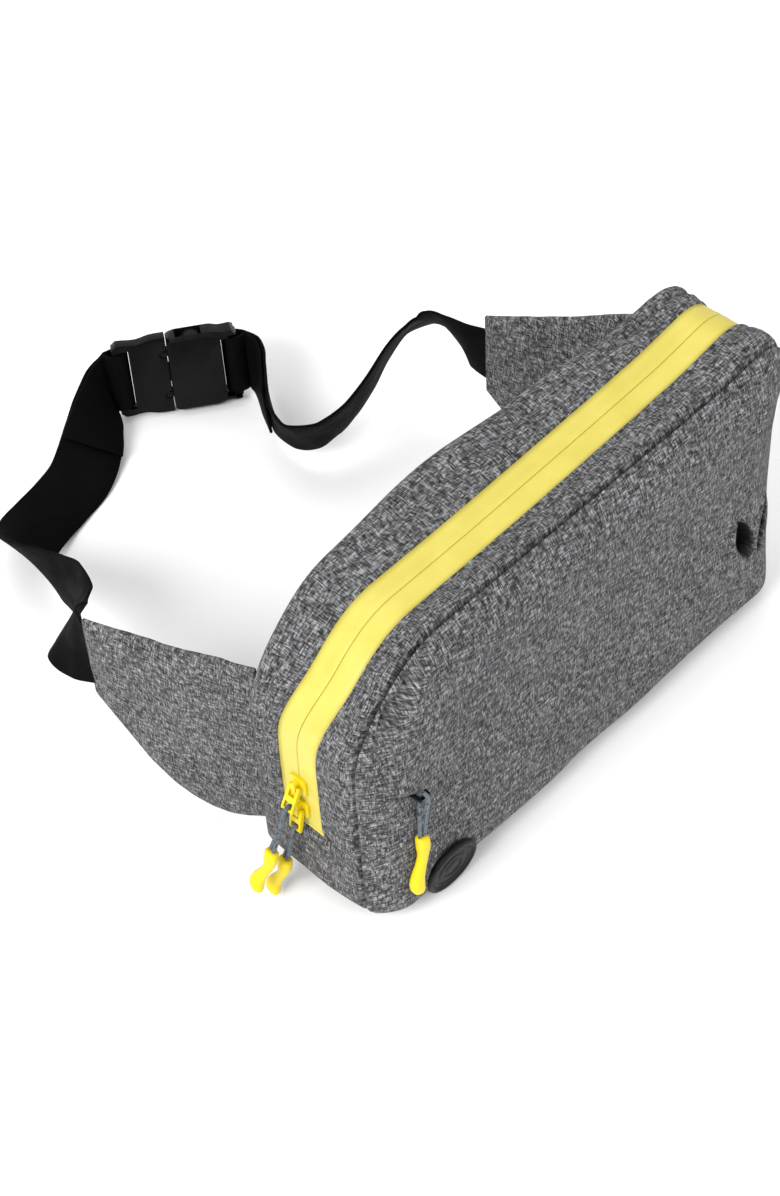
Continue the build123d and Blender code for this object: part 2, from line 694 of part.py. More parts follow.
TAIL_STEP = LEG_GAP + WEB_THICK
left_end = across_plane(PLUG_END - LEG_END, -TAIL_STEP / 2, 1)
right_end = across_plane(SOCKET_END + LEG_END, -TAIL_STEP / 2, -1)
left_start = tip_plane(LEFT_PIVOT, LEFT_WING_ANGLE)
right_start = tip_plane(RIGHT_PIVOT, RIGHT_WING_ANGLE)
left_planes = web_planes(left_start, LEFT_STATIONS, 1, left_end)
right_planes = web_planes(right_start, RIGHT_STATIONS, -1, right_end)
save(make_web(left_planes), "left_webbing")
save(make_web(right_planes), "right_webbing")
save(make_loop(PLUG_END, -1), "left_webbing_loop")
save(make_loop(SOCKET_END, 1), "right_webbing_loop")

# The webbing's sewn-back tails lie on its inner side.
save(make_web([layered(plane, TAIL_STEP) for plane in left_planes[-4:]]), "left_webbing_tail")
save(make_web([layered(plane, -TAIL_STEP) for plane in right_planes[-5:]]), "right_webbing_tail")
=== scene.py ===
from math import cos, hypot, pi, radians, sin

import bmesh
import bpy
import numpy as np
from mathutils import Matrix, Vector, noise


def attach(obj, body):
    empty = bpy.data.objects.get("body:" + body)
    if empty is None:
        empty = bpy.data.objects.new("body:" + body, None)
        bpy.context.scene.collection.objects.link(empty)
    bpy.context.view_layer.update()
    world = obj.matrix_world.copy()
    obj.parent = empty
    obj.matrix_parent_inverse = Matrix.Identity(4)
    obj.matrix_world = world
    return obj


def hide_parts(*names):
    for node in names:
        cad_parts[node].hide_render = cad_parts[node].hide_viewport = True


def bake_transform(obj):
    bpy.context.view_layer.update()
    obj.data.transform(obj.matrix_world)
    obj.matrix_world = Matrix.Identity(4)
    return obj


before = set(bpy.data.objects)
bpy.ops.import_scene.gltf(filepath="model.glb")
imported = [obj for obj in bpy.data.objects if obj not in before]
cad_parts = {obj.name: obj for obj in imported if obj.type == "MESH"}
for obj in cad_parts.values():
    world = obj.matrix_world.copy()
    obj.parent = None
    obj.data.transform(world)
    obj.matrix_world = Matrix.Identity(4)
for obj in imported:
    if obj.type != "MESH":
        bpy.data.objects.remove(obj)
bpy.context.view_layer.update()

MM = 0.001
# the lowest that the base strip and the two panels reach, in millimetres
STRIP_FLOOR, PANEL_FLOOR = 0.2, 0.3


# ---------------------------------------------------------------- mesh helpers
def add_object(name, data):
    obj = bpy.data.objects.new(name, data)
    bpy.context.scene.collection.objects.link(obj)
    return obj


def to_object(name, verts, faces, uv=None, smooth=True):
    """A mesh object from points in millimetres, with a UV map in centimetres of cloth."""
    mesh = bpy.data.meshes.new(name)
    mesh.from_pydata([tuple(float(c) * MM for c in v) for v in verts], [], faces)
    if uv is not None:
        layer = mesh.uv_layers.new(name="weave")
        uv = np.asarray(uv, float) * 0.1
        index = np.empty(len(mesh.loops), dtype=np.int32)
        mesh.loops.foreach_get("vertex_index", index)
        layer.data.foreach_set("uv", uv[index].astype(np.float32).ravel())
    mesh.polygons.foreach_set("use_smooth", [smooth] * len(mesh.polygons))
    mesh.update()
    return add_object(name, mesh)


def grid_faces(rows, cols, wrap=False, flip=False, base=0):
    faces = []
    last = cols if wrap else cols - 1
    for i in range(rows - 1):
        for j in range(last):
            a = base + i * cols + j
            b = base + i * cols + (j + 1) % cols
            quad = (a, b, b + cols, a + cols)
            faces.append(quad[::-1] if flip else quad)
    return faces


def tube_faces(rows, cols, flip=False, base=0):
    """Faces of a tube made of rings, with a cap at each end."""
    last = base + (rows - 1) * cols
    faces = grid_faces(rows, cols, wrap=True, flip=flip, base=base)
    faces.append(tuple(range(base, base + cols)))
    faces.append(tuple(range(last, last + cols))[::-1])
    return faces


def slab_faces(rows, cols):
    """Faces of two grids that lie back to back and are joined round their rim."""
    count = rows * cols
    faces = grid_faces(rows, cols) + grid_faces(rows, cols, flip=True, base=count)
    rim = list(range(cols)) + [i * cols + cols - 1 for i in range(1, rows)]
    rim += [(rows - 1) * cols + j for j in range(cols - 2, -1, -1)]
    rim += [i * cols for i in range(rows - 2, 0, -1)]
    for a, b in zip(rim, rim[1:] + rim[:1]):
        faces.append((a, a + count, b + count, b))
    return faces


def recalc(obj, merge=True):
    """Point every face outwards, and merge points that coincide unless merge is off."""
    mesh = bmesh.new()
    mesh.from_mesh(obj.data)
    if merge:
        bmesh.ops.remove_doubles(mesh, verts=mesh.verts, dist=0.00002)
    bmesh.ops.recalc_face_normals(mesh, faces=mesh.faces)
    mesh.to_mesh(obj.data)
    mesh.free()


def weld(obj, distance):
    """Merge points that coincide and drop faces without area."""
    mesh = bmesh.new()
    mesh.from_mesh(obj.data)
    bmesh.ops.remove_doubles(mesh, verts=mesh.verts, dist=distance * MM)
    bmesh.ops.dissolve_degenerate(mesh, edges=mesh.edges, dist=0.00001)
    mesh.to_mesh(obj.data)
    mesh.free()


def dress(obj, body, material):
    obj.data.materials.clear()
    obj.data.materials.append(material)
    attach(obj, body)


def dress_bending(obj, bodies, start, end, slot, material):
    """Cloth that crosses a joint: it gets its material and its transform baked into its points; bodies,
    start, end and slot are not used.
    """
    obj.data.materials.clear()
    obj.data.materials.append(material)
    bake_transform(obj)


def smoothstep(low, high, x):
    t = np.clip((np.asarray(x, float) - low) / (high - low), 0, 1)
    return t * t * (3 - 2 * t)


def bump(x, centre, width):
    return np.exp(-(((np.asarray(x, float) - centre) / width) ** 2))


def field(points, scale, seed=0.0):
    """Smooth noise between -1 and 1 at points in millimetres."""
    spots = [Vector((x / scale + seed, y / scale, z / scale + seed)) for x, y, z in points]
    return np.array([noise.noise(spot) for spot in spots])


# ---------------------------------------------------------------- materials
def material(name, roughness, colour=(0.5, 0.5, 0.5), sheen=0.0, coat=0.0, specular=0.5):
    mat = bpy.data.materials.new(name)
    mat.use_nodes = True
    shader = mat.node_tree.nodes["Principled BSDF"]
    shader.inputs["Base Color"].default_value = (*colour, 1)
    shader.inputs["Roughness"].default_value = roughness
    shader.inputs["Sheen Weight"].default_value = sheen
    shader.inputs["Sheen Roughness"].default_value = 0.5
    shader.inputs["Coat Weight"].default_value = coat
    shader.inputs["Coat Roughness"].default_value = 0.25
    shader.inputs["Specular IOR Level"].default_value = specular
    return mat


class Nodes:
    """Short calls for building one material's node tree."""

    def __init__(self, mat):
        self.tree = mat.node_tree
        self.shader = self.tree.nodes["Principled BSDF"]

    def link(self, a, b):
        self.tree.links.new(a, b)

    def coords(self, kind):
        if kind == "weave":
            node = self.tree.nodes.new("ShaderNodeUVMap")
            node.uv_map = "weave"
            return node.outputs["UV"]
        return self.tree.nodes.new("ShaderNodeTexCoord").outputs[kind]

    def mapped(self, vector, scale=(1, 1, 1), rotation=(0, 0, 0), location=(0, 0, 0)):
        node = self.tree.nodes.new("ShaderNodeMapping")
        self.link(vector, node.inputs["Vector"])
        node.inputs["Scale"].default_value = scale
        node.inputs["Rotation"].default_value = rotation
        node.inputs["Location"].default_value = location
        return node.outputs["Vector"]

    def snapped(self, vector, step):
        node = self.tree.nodes.new("ShaderNodeVectorMath")
        node.operation = "SNAP"
        self.link(vector, node.inputs[0])
        node.inputs[1].default_value = step
        return node.outputs["Vector"]

    def noise(self, vector, scale, detail, rough, location=(0, 0, 0)):
        node = self.tree.nodes.new("ShaderNodeTexNoise")
        self.link(self.mapped(vector, scale, location=location), node.inputs["Vector"])
        node.inputs["Scale"].default_value = 1
        node.inputs["Detail"].default_value = detail
        node.inputs["Roughness"].default_value = rough
        return node.outputs["Fac"]

    def wave(self, vector, scale, direction="X", distortion=0.0):
        node = self.tree.nodes.new("ShaderNodeTexWave")
        self.link(vector, node.inputs["Vector"])
        node.bands_direction = direction
        node.inputs["Scale"].default_value = scale
        node.inputs["Distortion"].default_value = distortion
        return node.outputs["Fac"]

    def ramp(self, value, stops):
        node = self.tree.nodes.new("ShaderNodeValToRGB")
        self.link(value, node.inputs["Fac"])
        ramp = node.color_ramp
        while len(ramp.elements) < len(stops):
            ramp.elements.new(0.5)
        for element, (at, colour) in zip(ramp.elements, stops):
            element.position = at
            element.color = (*colour, 1) if isinstance(colour, tuple) else (colour, colour, colour, 1)
        return node.outputs["Color"]

    def math(self, operation, a, b):
        node = self.tree.nodes.new("ShaderNodeMath")
        node.operation = operation
        for socket, value in zip(node.inputs, (a, b)):
            if isinstance(value, (int, float)):
                socket.default_value = value
            else:
                self.link(value, socket)
        return node.outputs[0]

    def weighted(self, *terms):
        """Sum of values times their weights."""
        parts = [self.math("MULTIPLY", value, weight) for value, weight in terms]
        total = parts[0]
        for part in parts[1:]:
            total = self.math("ADD", total, part)
        return total

    def mix(self, factor, a, b):
        node = self.tree.nodes.new("ShaderNodeMix")
        node.data_type = "RGBA"
        for socket, value in ((node.inputs[0], factor), (node.inputs[6], a), (node.inputs[7], b)):
            if isinstance(value, (int, float)):
                socket.default_value = value
            elif isinstance(value, tuple):
                socket.default_value = (*value, 1)
            else:
                self.link(value, socket)
        return node.outputs[2]

    def attribute(self, name):
        node = self.tree.nodes.new("ShaderNodeAttribute")
        node.attribute_name = name
        return node.outputs["Fac"]

    def bump(self, height, strength, distance):
        node = self.tree.nodes.new("ShaderNodeBump")
        self.link(height, node.inputs["Height"])
        node.inputs["Strength"].default_value = strength
        node.inputs["Distance"].default_value = distance
        return node.outputs["Normal"]

    def colour(self, value):
        self.link(value, self.shader.inputs["Base Color"])

    def rough(self, value):
        self.link(value, self.shader.inputs["Roughness"])

    def normal(self, value):
        self.link(value, self.shader.inputs["Normal"])


def heather(name, tone=1.0, warm=0.0, gap_and_painted_shade=False):
    """Grey melange cloth: light and dark slubs in both thread directions over a fine plain weave."""
    mat = material(name, 0.92, sheen=0.04, specular=0.12)
    n = Nodes(mat)
    uv = n.coords("weave")
    warp_threads = n.snapped(uv, (1 / 18, 0.002, 1))
    weft_threads = n.snapped(uv, (0.002, 1 / 18, 1))
    warp = n.noise(warp_threads, (93, 2.6, 1), 1, 0.5)
    weft = n.noise(weft_threads, (2.6, 93, 1), 1, 0.5, location=(7, 3, 0))
    grain = n.noise(uv, (22, 22, 1), 1, 0.6)
    cloud = n.noise(uv, (0.35, 0.35, 1), 2, 0.5)
    cloud = n.math("SUBTRACT", cloud, 0.5)
    value = n.weighted((warp, 0.43), (weft, 0.43), (grain, 0.14), (cloud, 0.04))

    def shade(level):
        return (level * tone * (1 + warm), level * tone, level * tone * (1.03 - warm))

    stops = ((0.38, 0.016), (0.45, 0.042), (0.505, 0.090), (0.56, 0.165), (0.64, 0.33))
    colour = n.ramp(value, [(at, shade(level)) for at, level in stops])
    # painted shade: the front cloth turns near black where its points say so, for the shadow line under the
    # slit's lip and for the gaps of the mouth
    if gap_and_painted_shade:
        colour = n.mix(n.attribute("gap_and_painted_shade"), colour, (0.002, 0.002, 0.0022))
    n.colour(colour)
    threads = n.math("ADD", n.wave(uv, 5.2, "X", 0.6), n.wave(uv, 5.2, "Y", 0.6))
    height = n.math("ADD", n.math("MULTIPLY", threads, 0.35), value)
    n.normal(n.bump(height, 0.55, 0.0005))
    return mat


def coated_yellow(name):
    """Coated zip tape: bright yellow film in slow patches of two yellows, with a faint pebble."""
    mat = material(name, 0.5, coat=0.04, specular=0.25)
    n = Nodes(mat)
    uv = n.coords("weave")
    film = n.noise(uv, (0.6, 0.6, 1), 3, 0.5)
    n.colour(n.ramp(film, [(0.3, (0.54, 0.46, 0.080)), (0.7, (0.59, 0.51, 0.105))]))
    pebble = n.noise(uv, (26, 26, 1), 2, 0.5)
    n.rough(n.ramp(film, [(0.3, 0.36), (0.7, 0.50)]))
    n.normal(n.bump(pebble, 0.12, 0.0002))
    return mat


def moulding(name, roughness, shades, patches, wear, grain, coat=0.0, specular=0.25):
    """Plastic, rubber or lacquer: two shades in slow patches, rubbed spots and a fine grain.

    patches: scale, detail, roughness and low stop of the patches; wear: change of gloss between
    them; grain: scale and strength of the bump.
    """
    scale, detail, share, low = patches
    mat = material(name, roughness, coat=coat, specular=specular)
    n = Nodes(mat)
    at = n.coords("Object")
    patch = n.noise(at, (scale, scale, scale), detail, share)
    n.colour(n.ramp(patch, [(low, shades[0]), (0.7, shades[1])]))
    n.rough(n.ramp(patch, [(low, roughness + wear[0]), (0.7, roughness + wear[1])]))
    fine = n.noise(at, (grain[0], grain[0], grain[0]), 2, 0.5)
    n.normal(n.bump(fine, grain[1], 0.0002))
    return mat


def yellow_moulding(name, roughness):
    """Saturated yellow lacquer or soft-touch moulding with a fine orange-peel."""
    shades = ((0.66, 0.50, 0.001), (0.74, 0.57, 0.002))
    peel = (1500, 0.10)
    return moulding(name, roughness, shades, (120, 3, 0.5, 0.3), (-0.05, 0.08), peel, 0.08, 0.35)


def black_plastic(name, roughness):
    """Injection-moulded black plastic with a spark-eroded texture and rubbed spots."""
    shades = ((0.001, 0.001, 0.0013), (0.003, 0.003, 0.0036))
    eroded = (2600, 0.14)
    return moulding(name, roughness, shades, (90, 4, 0.6, 0.35), (-0.06, 0.12), eroded, specular=0.13)


def black_rubber(name):
    shades = ((0.003, 0.003, 0.003), (0.008, 0.008, 0.0085))
    return moulding(name, 0.55, shades, (140, 4, 0.6, 0.35), (-0.10, 0.11), (1800, 0.18))


def webbing_black(name):
    """Black belt webbing: fine cross ribs and wavy lengthwise cords of thread."""
    mat = material(name, 0.7, sheen=0.0, specular=0.04)
    n = Nodes(mat)
    uv = n.coords("weave")
    ribs = n.wave(uv, 3.4, "X", 0.4)
    cords = n.wave(uv, 4.6, "Y", 0.8)
    lint = n.noise(uv, (5, 24, 1), 3, 0.6)
    wear = n.noise(uv, (0.5, 0.8, 1), 3, 0.5)
    value = n.weighted((lint, 0.6), (ribs, 0.4))
    shades = [(0.25, (0.0006, 0.0006, 0.0007)), (0.55, (0.0016, 0.0016, 0.002)), (0.8, (0.006, 0.006, 0.007))]
    n.colour(n.ramp(value, shades))
    n.rough(n.ramp(wear, [(0.3, 0.60), (0.7, 0.80)]))
    height = n.weighted((ribs, 0.7), (cords, 0.3))
    n.normal(n.bump(height, 0.5, 0.0004))
    return mat


def cord_slate(name):
    """Braided slate cord flecked with black."""
    mat = material(name, 0.75, sheen=0.1, specular=0.3)
    n = Nodes(mat)
    at = n.coords("Object")
    fleck = n.noise(at, (900, 900, 650), 1, 0.5)
    shade = n.noise(at, (260, 260, 260), 3, 0.6)
    base = n.ramp(shade, [(0.3, (0.070, 0.088, 0.10)), (0.7, (0.125, 0.15, 0.17))])
    dark = n.ramp(fleck, [(0.60, 0.0), (0.64, 1.0)])
    n.colour(n.mix(dark, base, (0.012, 0.012, 0.014)))
    braid = n.wave(n.mapped(at, rotation=(0.6, 0.7, 0.3)), 420, "DIAGONAL", 2.0)
    n.normal(n.bump(braid, 0.5, 0.0003))
    return mat


def lining(name):
    mat = material(name, 0.8, sheen=0.1, specular=0.25)
    n = Nodes(mat)
    at = n.coords("Object")
    weave = n.noise(at, (900, 900, 900), 2, 0.5)
    n.colour(n.ramp(weave, [(0.35, (0.003, 0.003, 0.003)), (0.7, (0.009, 0.009, 0.010))]))
    n.normal(n.bump(weave, 0.4, 0.0003))
    return mat


HEATHER = heather("heather_cloth")
HEATHER_FRONT = heather("heather_front", gap_and_painted_shade=True)
HEATHER_LOW = heather("heather_base", tone=0.97, warm=0.02)
TAPE_YELLOW = coated_yellow("coated_tape")
GRIP_YELLOW = yellow_moulding("grip_moulding", 0.42)
SLIDER_YELLOW = yellow_moulding("slider_lacquer", 0.33)
WEBBING = webbing_black("belt_webbing")
BUCKLE_BLACK = black_plastic("buckle_plastic", 0.34)
BADGE_BLACK = black_rubber("badge_rubber")
CORD_SLATE = cord_slate("braided_cord")
LINING_BLACK = lining("lining_cloth")
FOAM = black_rubber("foam")
# painted shade: the pocket slider is made near black so that it passes for the shade under the slit's lip
SLIDER_PAINTED_SHADE = black_plastic("dark_slider", 0.30)


# ---------------------------------------------------------------- camera
AZIMUTH, ELEVATION, ROLL = radians(-43.73), radians(47.75), radians(-3.77)
TARGET = Vector((-0.0426, 0.0536, 0.0827))
DISTANCE = 1.275
back = Vector((sin(AZIMUTH) * cos(ELEVATION), -cos(AZIMUTH) * cos(ELEVATION), sin(ELEVATION)))
level = Vector((cos(AZIMUTH), sin(AZIMUTH), 0))
upright = back.cross(level)
right = cos(ROLL) * level + sin(ROLL) * upright
up = back.cross(right)
camera_data = bpy.data.cameras.new("camera")
camera_data.sensor_fit = "VERTICAL"
camera_data.sensor_height = 24
camera_data.lens = 50.17
camera_data.clip_start = 0.01
camera = add_object("camera", camera_data)
turn = Matrix((right, up, back)).transposed().to_4x4()
camera.matrix_world = Matrix.Translation(TARGET + back * DISTANCE) @ turn
bpy.context.scene.camera = camera


# ---------------------------------------------------------------- pull cords
LEFT_X, RIGHT_X = -158.0, 155.0
ZIP_Y = 3.0
PULLER_LENGTH = 13.0
CORD_DIAMETER = 2.2


def lean_frame(origin, tilt, splay):
    """Origin on a puller's bar; columns are across, up the pull and outwards from the left end."""
    out = Vector((-cos(radians(tilt)), 0, sin(radians(tilt))))
    across = Matrix.Rotation(radians(splay), 3, out) @ Vector((0, -1, 0))
    return Vector(origin), across, out.cross(across), out


def front_frame(origin, tilt, splay):
    out = Vector((0, -cos(radians(tilt)), sin(radians(tilt))))
    across = Matrix.Rotation(radians(splay), 3, out) @ Vector((1, 0, 0))
    return Vector(origin), across, out.cross(across), out


def from_frame(frame_axes, point):
    origin, across, along, out = frame_axes
    return origin + across * point[0] + along * point[1] + out * point[2]


def bar_of(height, tilt):
    """Where a puller's bar hangs below its slider, which stands out 4 mm from the bag's left end."""
    drop, reach = PULLER_LENGTH * cos(radians(tilt)), PULLER_LENGTH * sin(radians(tilt))
    return (LEFT_X - 4.0 - reach, ZIP_Y, height - drop)


def cord_route(drop):
    """From the grip up through the puller's foot and back down; the way back is the mirror image."""
    up = ((1.3, 0.2 - drop, 0.3), (1.3, -drop * 0.6, 0.8), (0.5, -3.4, 2.3), (0.0, 2.4, 2.5))
    return up + tuple((-x, y, -z) for x, y, z in up[::-1])


def make_cord(name, axes, drop, node, body):
    data = bpy.data.curves.new(name, "CURVE")
    data.dimensions = "3D"
    data.bevel_depth = CORD_DIAMETER / 2 * MM
    data.bevel_resolution = 5
    data.resolution_u = 16
    route = [from_frame(axes, point) * MM for point in cord_route(drop)]
    spline = data.splines.new("NURBS")
    spline.points.add(len(route) - 1)
    for item, point in zip(spline.points, route):
        item.co = (*point, 1)
    spline.order_u = 3
    spline.use_endpoint_u = True
    obj = add_object(name, data)
    obj.data.materials.append(CORD_SLATE)
    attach(obj, body)
    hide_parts(node)
    return obj


def make_grip(name, axes, drop, length, node, body, bend=1.6):
    """A soft moulded grip: a collar, a waist, a swell and a rounded, slightly hooked foot."""
    stations = (
        (0.0, 1.9, 2.0), (0.012, 3.0, 2.9), (0.03, 3.5, 3.3), (0.12, 3.65, 3.4), (0.22, 3.6, 3.2),
        (0.27, 3.2, 2.9), (0.36, 2.75, 2.6), (0.50, 2.9, 2.6), (0.66, 3.6, 3.0), (0.80, 4.1, 3.3),
        (0.90, 4.0, 3.2), (0.96, 3.2, 2.6), (0.99, 1.9, 1.6), (1.0, 0.3, 0.3),
    )
    t = np.array([s[0] for s in stations])
    fine = np.unique(np.concatenate([np.linspace(0, 1, 40), t]))
    wide = np.interp(fine, t, [s[1] for s in stations])
    deep = np.interp(fine, t, [s[2] for s in stations])
    ring = 28
    verts = []
    for f, a, b in zip(fine, wide, deep):
        side = bend * sin(2 * pi * f) * (0.5 + f)
        for k in range(ring):
            angle = 2 * pi * k / ring
            ca, sa = cos(angle), sin(angle)
            x = a * abs(ca) ** 0.85 * (1 if ca >= 0 else -1) + side
            z = b * abs(sa) ** 0.85 * (1 if sa >= 0 else -1)
            verts.append(from_frame(axes, (x, -drop - f * length, z)))
    obj = to_object(name, verts, tube_faces(len(fine), ring, flip=True))
    recalc(obj)
    dress(obj, body, GRIP_YELLOW)
    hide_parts(node)
    return obj


# slider height, the puller's lean, the pull's lean and its splay, with the bodies they ride on
UPPER_AXES = lean_frame(bar_of(84.0, 28.0), 21.0, -7.0)
LOWER_AXES = lean_frame(bar_of(67.0, 10.0), 13.0, -10.0)
POCKET_AXES = front_frame((-128.0, -50.0, 89.0), 3.0, -9.0)
for label, axes, drop, length, cord_length in (
    ("upper", UPPER_AXES, 28.0, 28.0, 63.6),
    ("lower", LOWER_AXES, 24.0, 28.0, 55.7),
    ("pocket", POCKET_AXES, 26.0, 38.0, 59.7),
):
    cord = make_cord(f"{label}_pull_cord", axes, drop, f"{label}_cord", f"{label}_pull")
    grip = make_grip(f"{label}_pull_grip", axes, drop, length, f"{label}_grip", f"{label}_pull")


# ---------------------------------------------------------------- the bag's outline
HEIGHT = 174.0
TOP_LEFT_R, TOP_RIGHT_R, LOW_R = 60.0, 26.0, 20.0
SEAM_Z = 54.0
MIDDLE_X, HALF = (LEFT_X + RIGHT_X) / 2, (RIGHT_X - LEFT_X) / 2
SEGMENTS = (
    ("line", (LEFT_X, SEAM_Z), (LEFT_X, HEIGHT - TOP_LEFT_R)),
    ("arc", (LEFT_X + TOP_LEFT_R, HEIGHT - TOP_LEFT_R), TOP_LEFT_R, 180, 90),
    ("line", (LEFT_X + TOP_LEFT_R, HEIGHT), (RIGHT_X - TOP_RIGHT_R, HEIGHT)),
    ("arc", (RIGHT_X - TOP_RIGHT_R, HEIGHT - TOP_RIGHT_R), TOP_RIGHT_R, 90, 0),
    ("line", (RIGHT_X, HEIGHT - TOP_RIGHT_R), (RIGHT_X, SEAM_Z)),
    ("line", (RIGHT_X, SEAM_Z), (RIGHT_X, LOW_R)),
    ("arc", (RIGHT_X - LOW_R, LOW_R), LOW_R, 0, -90),
    ("line", (RIGHT_X - LOW_R, 0), (LEFT_X + LOW_R, 0)),
    ("arc", (LEFT_X + LOW_R, LOW_R), LOW_R, -90, -180),
    ("line", (LEFT_X, LOW_R), (LEFT_X, SEAM_Z)),
)


def segment_length(segment):
    if segment[0] == "line":
        return hypot(segment[2][0] - segment[1][0], segment[2][1] - segment[1][1])
    return segment[2] * radians(abs(segment[4] - segment[3]))


LENGTHS = [segment_length(segment) for segment in SEGMENTS]
TOTAL = sum(LENGTHS)
UPPER = sum(LENGTHS[:5])


def outline_at(s):
    """Point and outward normal on the bag's outline at arc length s from the left base seam."""
    s = s % TOTAL
    for segment, length in zip(SEGMENTS, LENGTHS):
        if s <= length + 1e-9:
            break
        s -= length
    if segment[0] == "line":
        (ax, az), (bx, bz) = segment[1], segment[2]
        f = s / length
        dx, dz = (bx - ax) / length, (bz - az) / length
        return ax + f * (bx - ax), az + f * (bz - az), -dz, dx
    (cx, cz), radius, start, end = segment[1], segment[2], segment[3], segment[4]
    angle = radians(start + (end - start) * s / length)
    return cx + radius * cos(angle), cz + radius * sin(angle), cos(angle), sin(angle)


def zip_drift(s):
    """How far the zip's line runs from the middle of the gusset, round the left corner and along the top."""
    start = ZIP_Y * (1 - smoothstep(52, 105, s))
    corner = 6.0 * smoothstep(52, 112, s) * (1 - smoothstep(150, 400, s))
    return start - corner + 1.5 * smoothstep(300, 420, s)


def stuffing(x, z):
    """Shift of the soft shell at a point: the right corner stands up and the left one sags a little."""
    x, z = np.asarray(x, float), np.asarray(z, float)
    corner = smoothstep(95, 160, x) * smoothstep(110, 178, z)
    sag = bump(np.hypot(x + 132, z - 150), 0, 26)
    left = smoothstep(-148, -158, x) * bump(z, 84, 36)
    dx = 9.0 * corner + 2.8 * sag - 0.6 * left
    dz = 6.5 * corner - 3.0 * sag
    return dx, dz


def back_swell(x, z):
    """How far the padded back pushes the bag's upper rear edge out."""
    return (9.0 * bump(x, -22, 62) + 3.5 * bump(x, 62, 30)) * smoothstep(120, 168, z)


def strip_wrinkle(s, y):
    """Small cross puckers along a sewn strip of cloth."""
    return 0.35 * sin(s / 5.1 + 1.3 * sin(s / 23.0) + y * 0.2) * (0.5 + 0.5 * sin(s / 41.0 + 1))


def sweep_strip(name, s_range, profile, mat, replaces, step=2.0, thick=1.4, seam_dip=1.5, drift=True):
    """A band of cloth along the outline. profile(s) gives (y, out) points from its front to its rear edge."""
    count = int((s_range[1] - s_range[0]) / step) + 1
    samples = np.linspace(s_range[0], s_range[1], count)
    verts, uv, cols = [], [], None
    for s in samples:
        x, z, nx, nz = outline_at(s)
        dip = 0.0
        if seam_dip:
            edge = min(abs(s - s_range[0]), abs(s - s_range[1]))
            dip = -seam_dip * float(np.exp(-((edge / 1.6) ** 2)))
        rows = profile(s)
        outer = []
        for y, out in rows:
            share = min(1.0, max(0.0, (33.0 - abs(y)) / 19.5)) if drift else 0.0
            shift = float(zip_drift(s)) * share
            swell = float(back_swell(x, z)) * max(0.0, (y - 14) / 19.0) if y > 14 else 0.0
            outer.append((y + shift + swell, out + dip))
        inner = [(y, out - thick) for y, out in outer][::-1]
        ring = outer + inner
        cols = len(ring)
        for (y, out), (v, _) in zip(ring, rows + rows[::-1]):
            px, pz = x + nx * out, z + nz * out
            dx, dz = stuffing(px, pz)
            verts.append((px + float(dx), y, max(pz + float(dz), STRIP_FLOOR)))
            uv.append((s, v))
    obj = to_object(name, verts, tube_faces(count, cols), uv)
    recalc(obj, merge=False)
    dress(obj, "bag", mat)
    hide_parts(*replaces)


def puff(s, y):
    """Slow swelling of the strips between their seams."""
    return 0.5 * sin(s / 37.0 + 0.8) * sin(y / 9.0) + strip_wrinkle(s, y)


def rear_profile(s):
    """From the tape's edge over a sewn ridge, two swells parted by a seam, and the turn to the back panel."""
    shape = (
        (12.7, -0.9), (12.8, 0.1), (13.2, 0.75), (14.2, 1.0), (15.6, 0.75), (17.5, 1.4), (20.5, 1.9),
        (23.0, 1.2), (24.4, 0.1), (24.9, 0.1), (26.2, 1.2), (28.5, 1.9), (31.0, 1.5), (32.8, 0.3),
        (34.2, -1.6), (34.6, -3.6),
    )
    return [(y, out + puff(s, y) * (1 if 16 < y < 33 else 0.2)) for y, out in shape]


def front_profile(s):
    """From the front panel's seam over one swell to the ridge sewn beside the tape."""
    shape = (
        (-33.2, -4.5), (-32.9, -2.8), (-32.2, -1.0), (-31.0, 0.5), (-29.0, 1.6), (-26.0, 2.2), (-22.5, 2.2),
        (-19.0, 1.6), (-16.6, 0.9), (-15.4, 0.7), (-14.2, 1.0), (-13.2, 0.75), (-12.8, 0.1), (-12.7, -0.9),
    )
    return [(y, out + puff(s, y) * (1 if y < -17 else 0.2)) for y, out in shape]


def base_profile(s):
    """The base strip swells on the bag's two ends and lies flat under its bottom."""
    shape = (
        (-33.2, -4.5), (-32.9, -2.8), (-32.2, -1.0), (-30.5, 0.3), (-26, 1.0), (-18, 1.5), (-9, 1.8),
        (0, 1.9), (9, 1.8), (18, 1.5), (25, 0.9), (30, 0.6), (32.8, 0.1), (34.2, -1.6), (34.6, -3.6),
    )
    upright_share = abs(outline_at(s)[2])
    return [(y, (out + puff(s, y)) * upright_share if out > 0 else out) for y, out in shape]


TAPE_THICK, COIL_THICK = 0.9, 1.6


def tape_profile(sign):
    """Half of the coated tape: its lip at the zip's line, a ridge over the coil and the flat to its edge."""
    shape = (
        (0.12, -0.9), (0.16, -0.25), (0.5, -0.02), (1.2, 0.05),
        (3.6, 0.05), (4.6, -0.12), (9.0, -0.15), (13.3, -0.15),
    )
    rows = [(sign * y, out) for y, out in shape]
    return lambda s: rows if sign > 0 else rows[::-1]


def coil_profile(sign):
    """The coil sewn under one tape."""
    rows = [(sign * y, out) for y, out in ((0.7, -1.5), (1.2, -1.3), (3.3, -1.3), (3.8, -1.5))]
    return lambda s: rows if sign > 0 else rows[::-1]


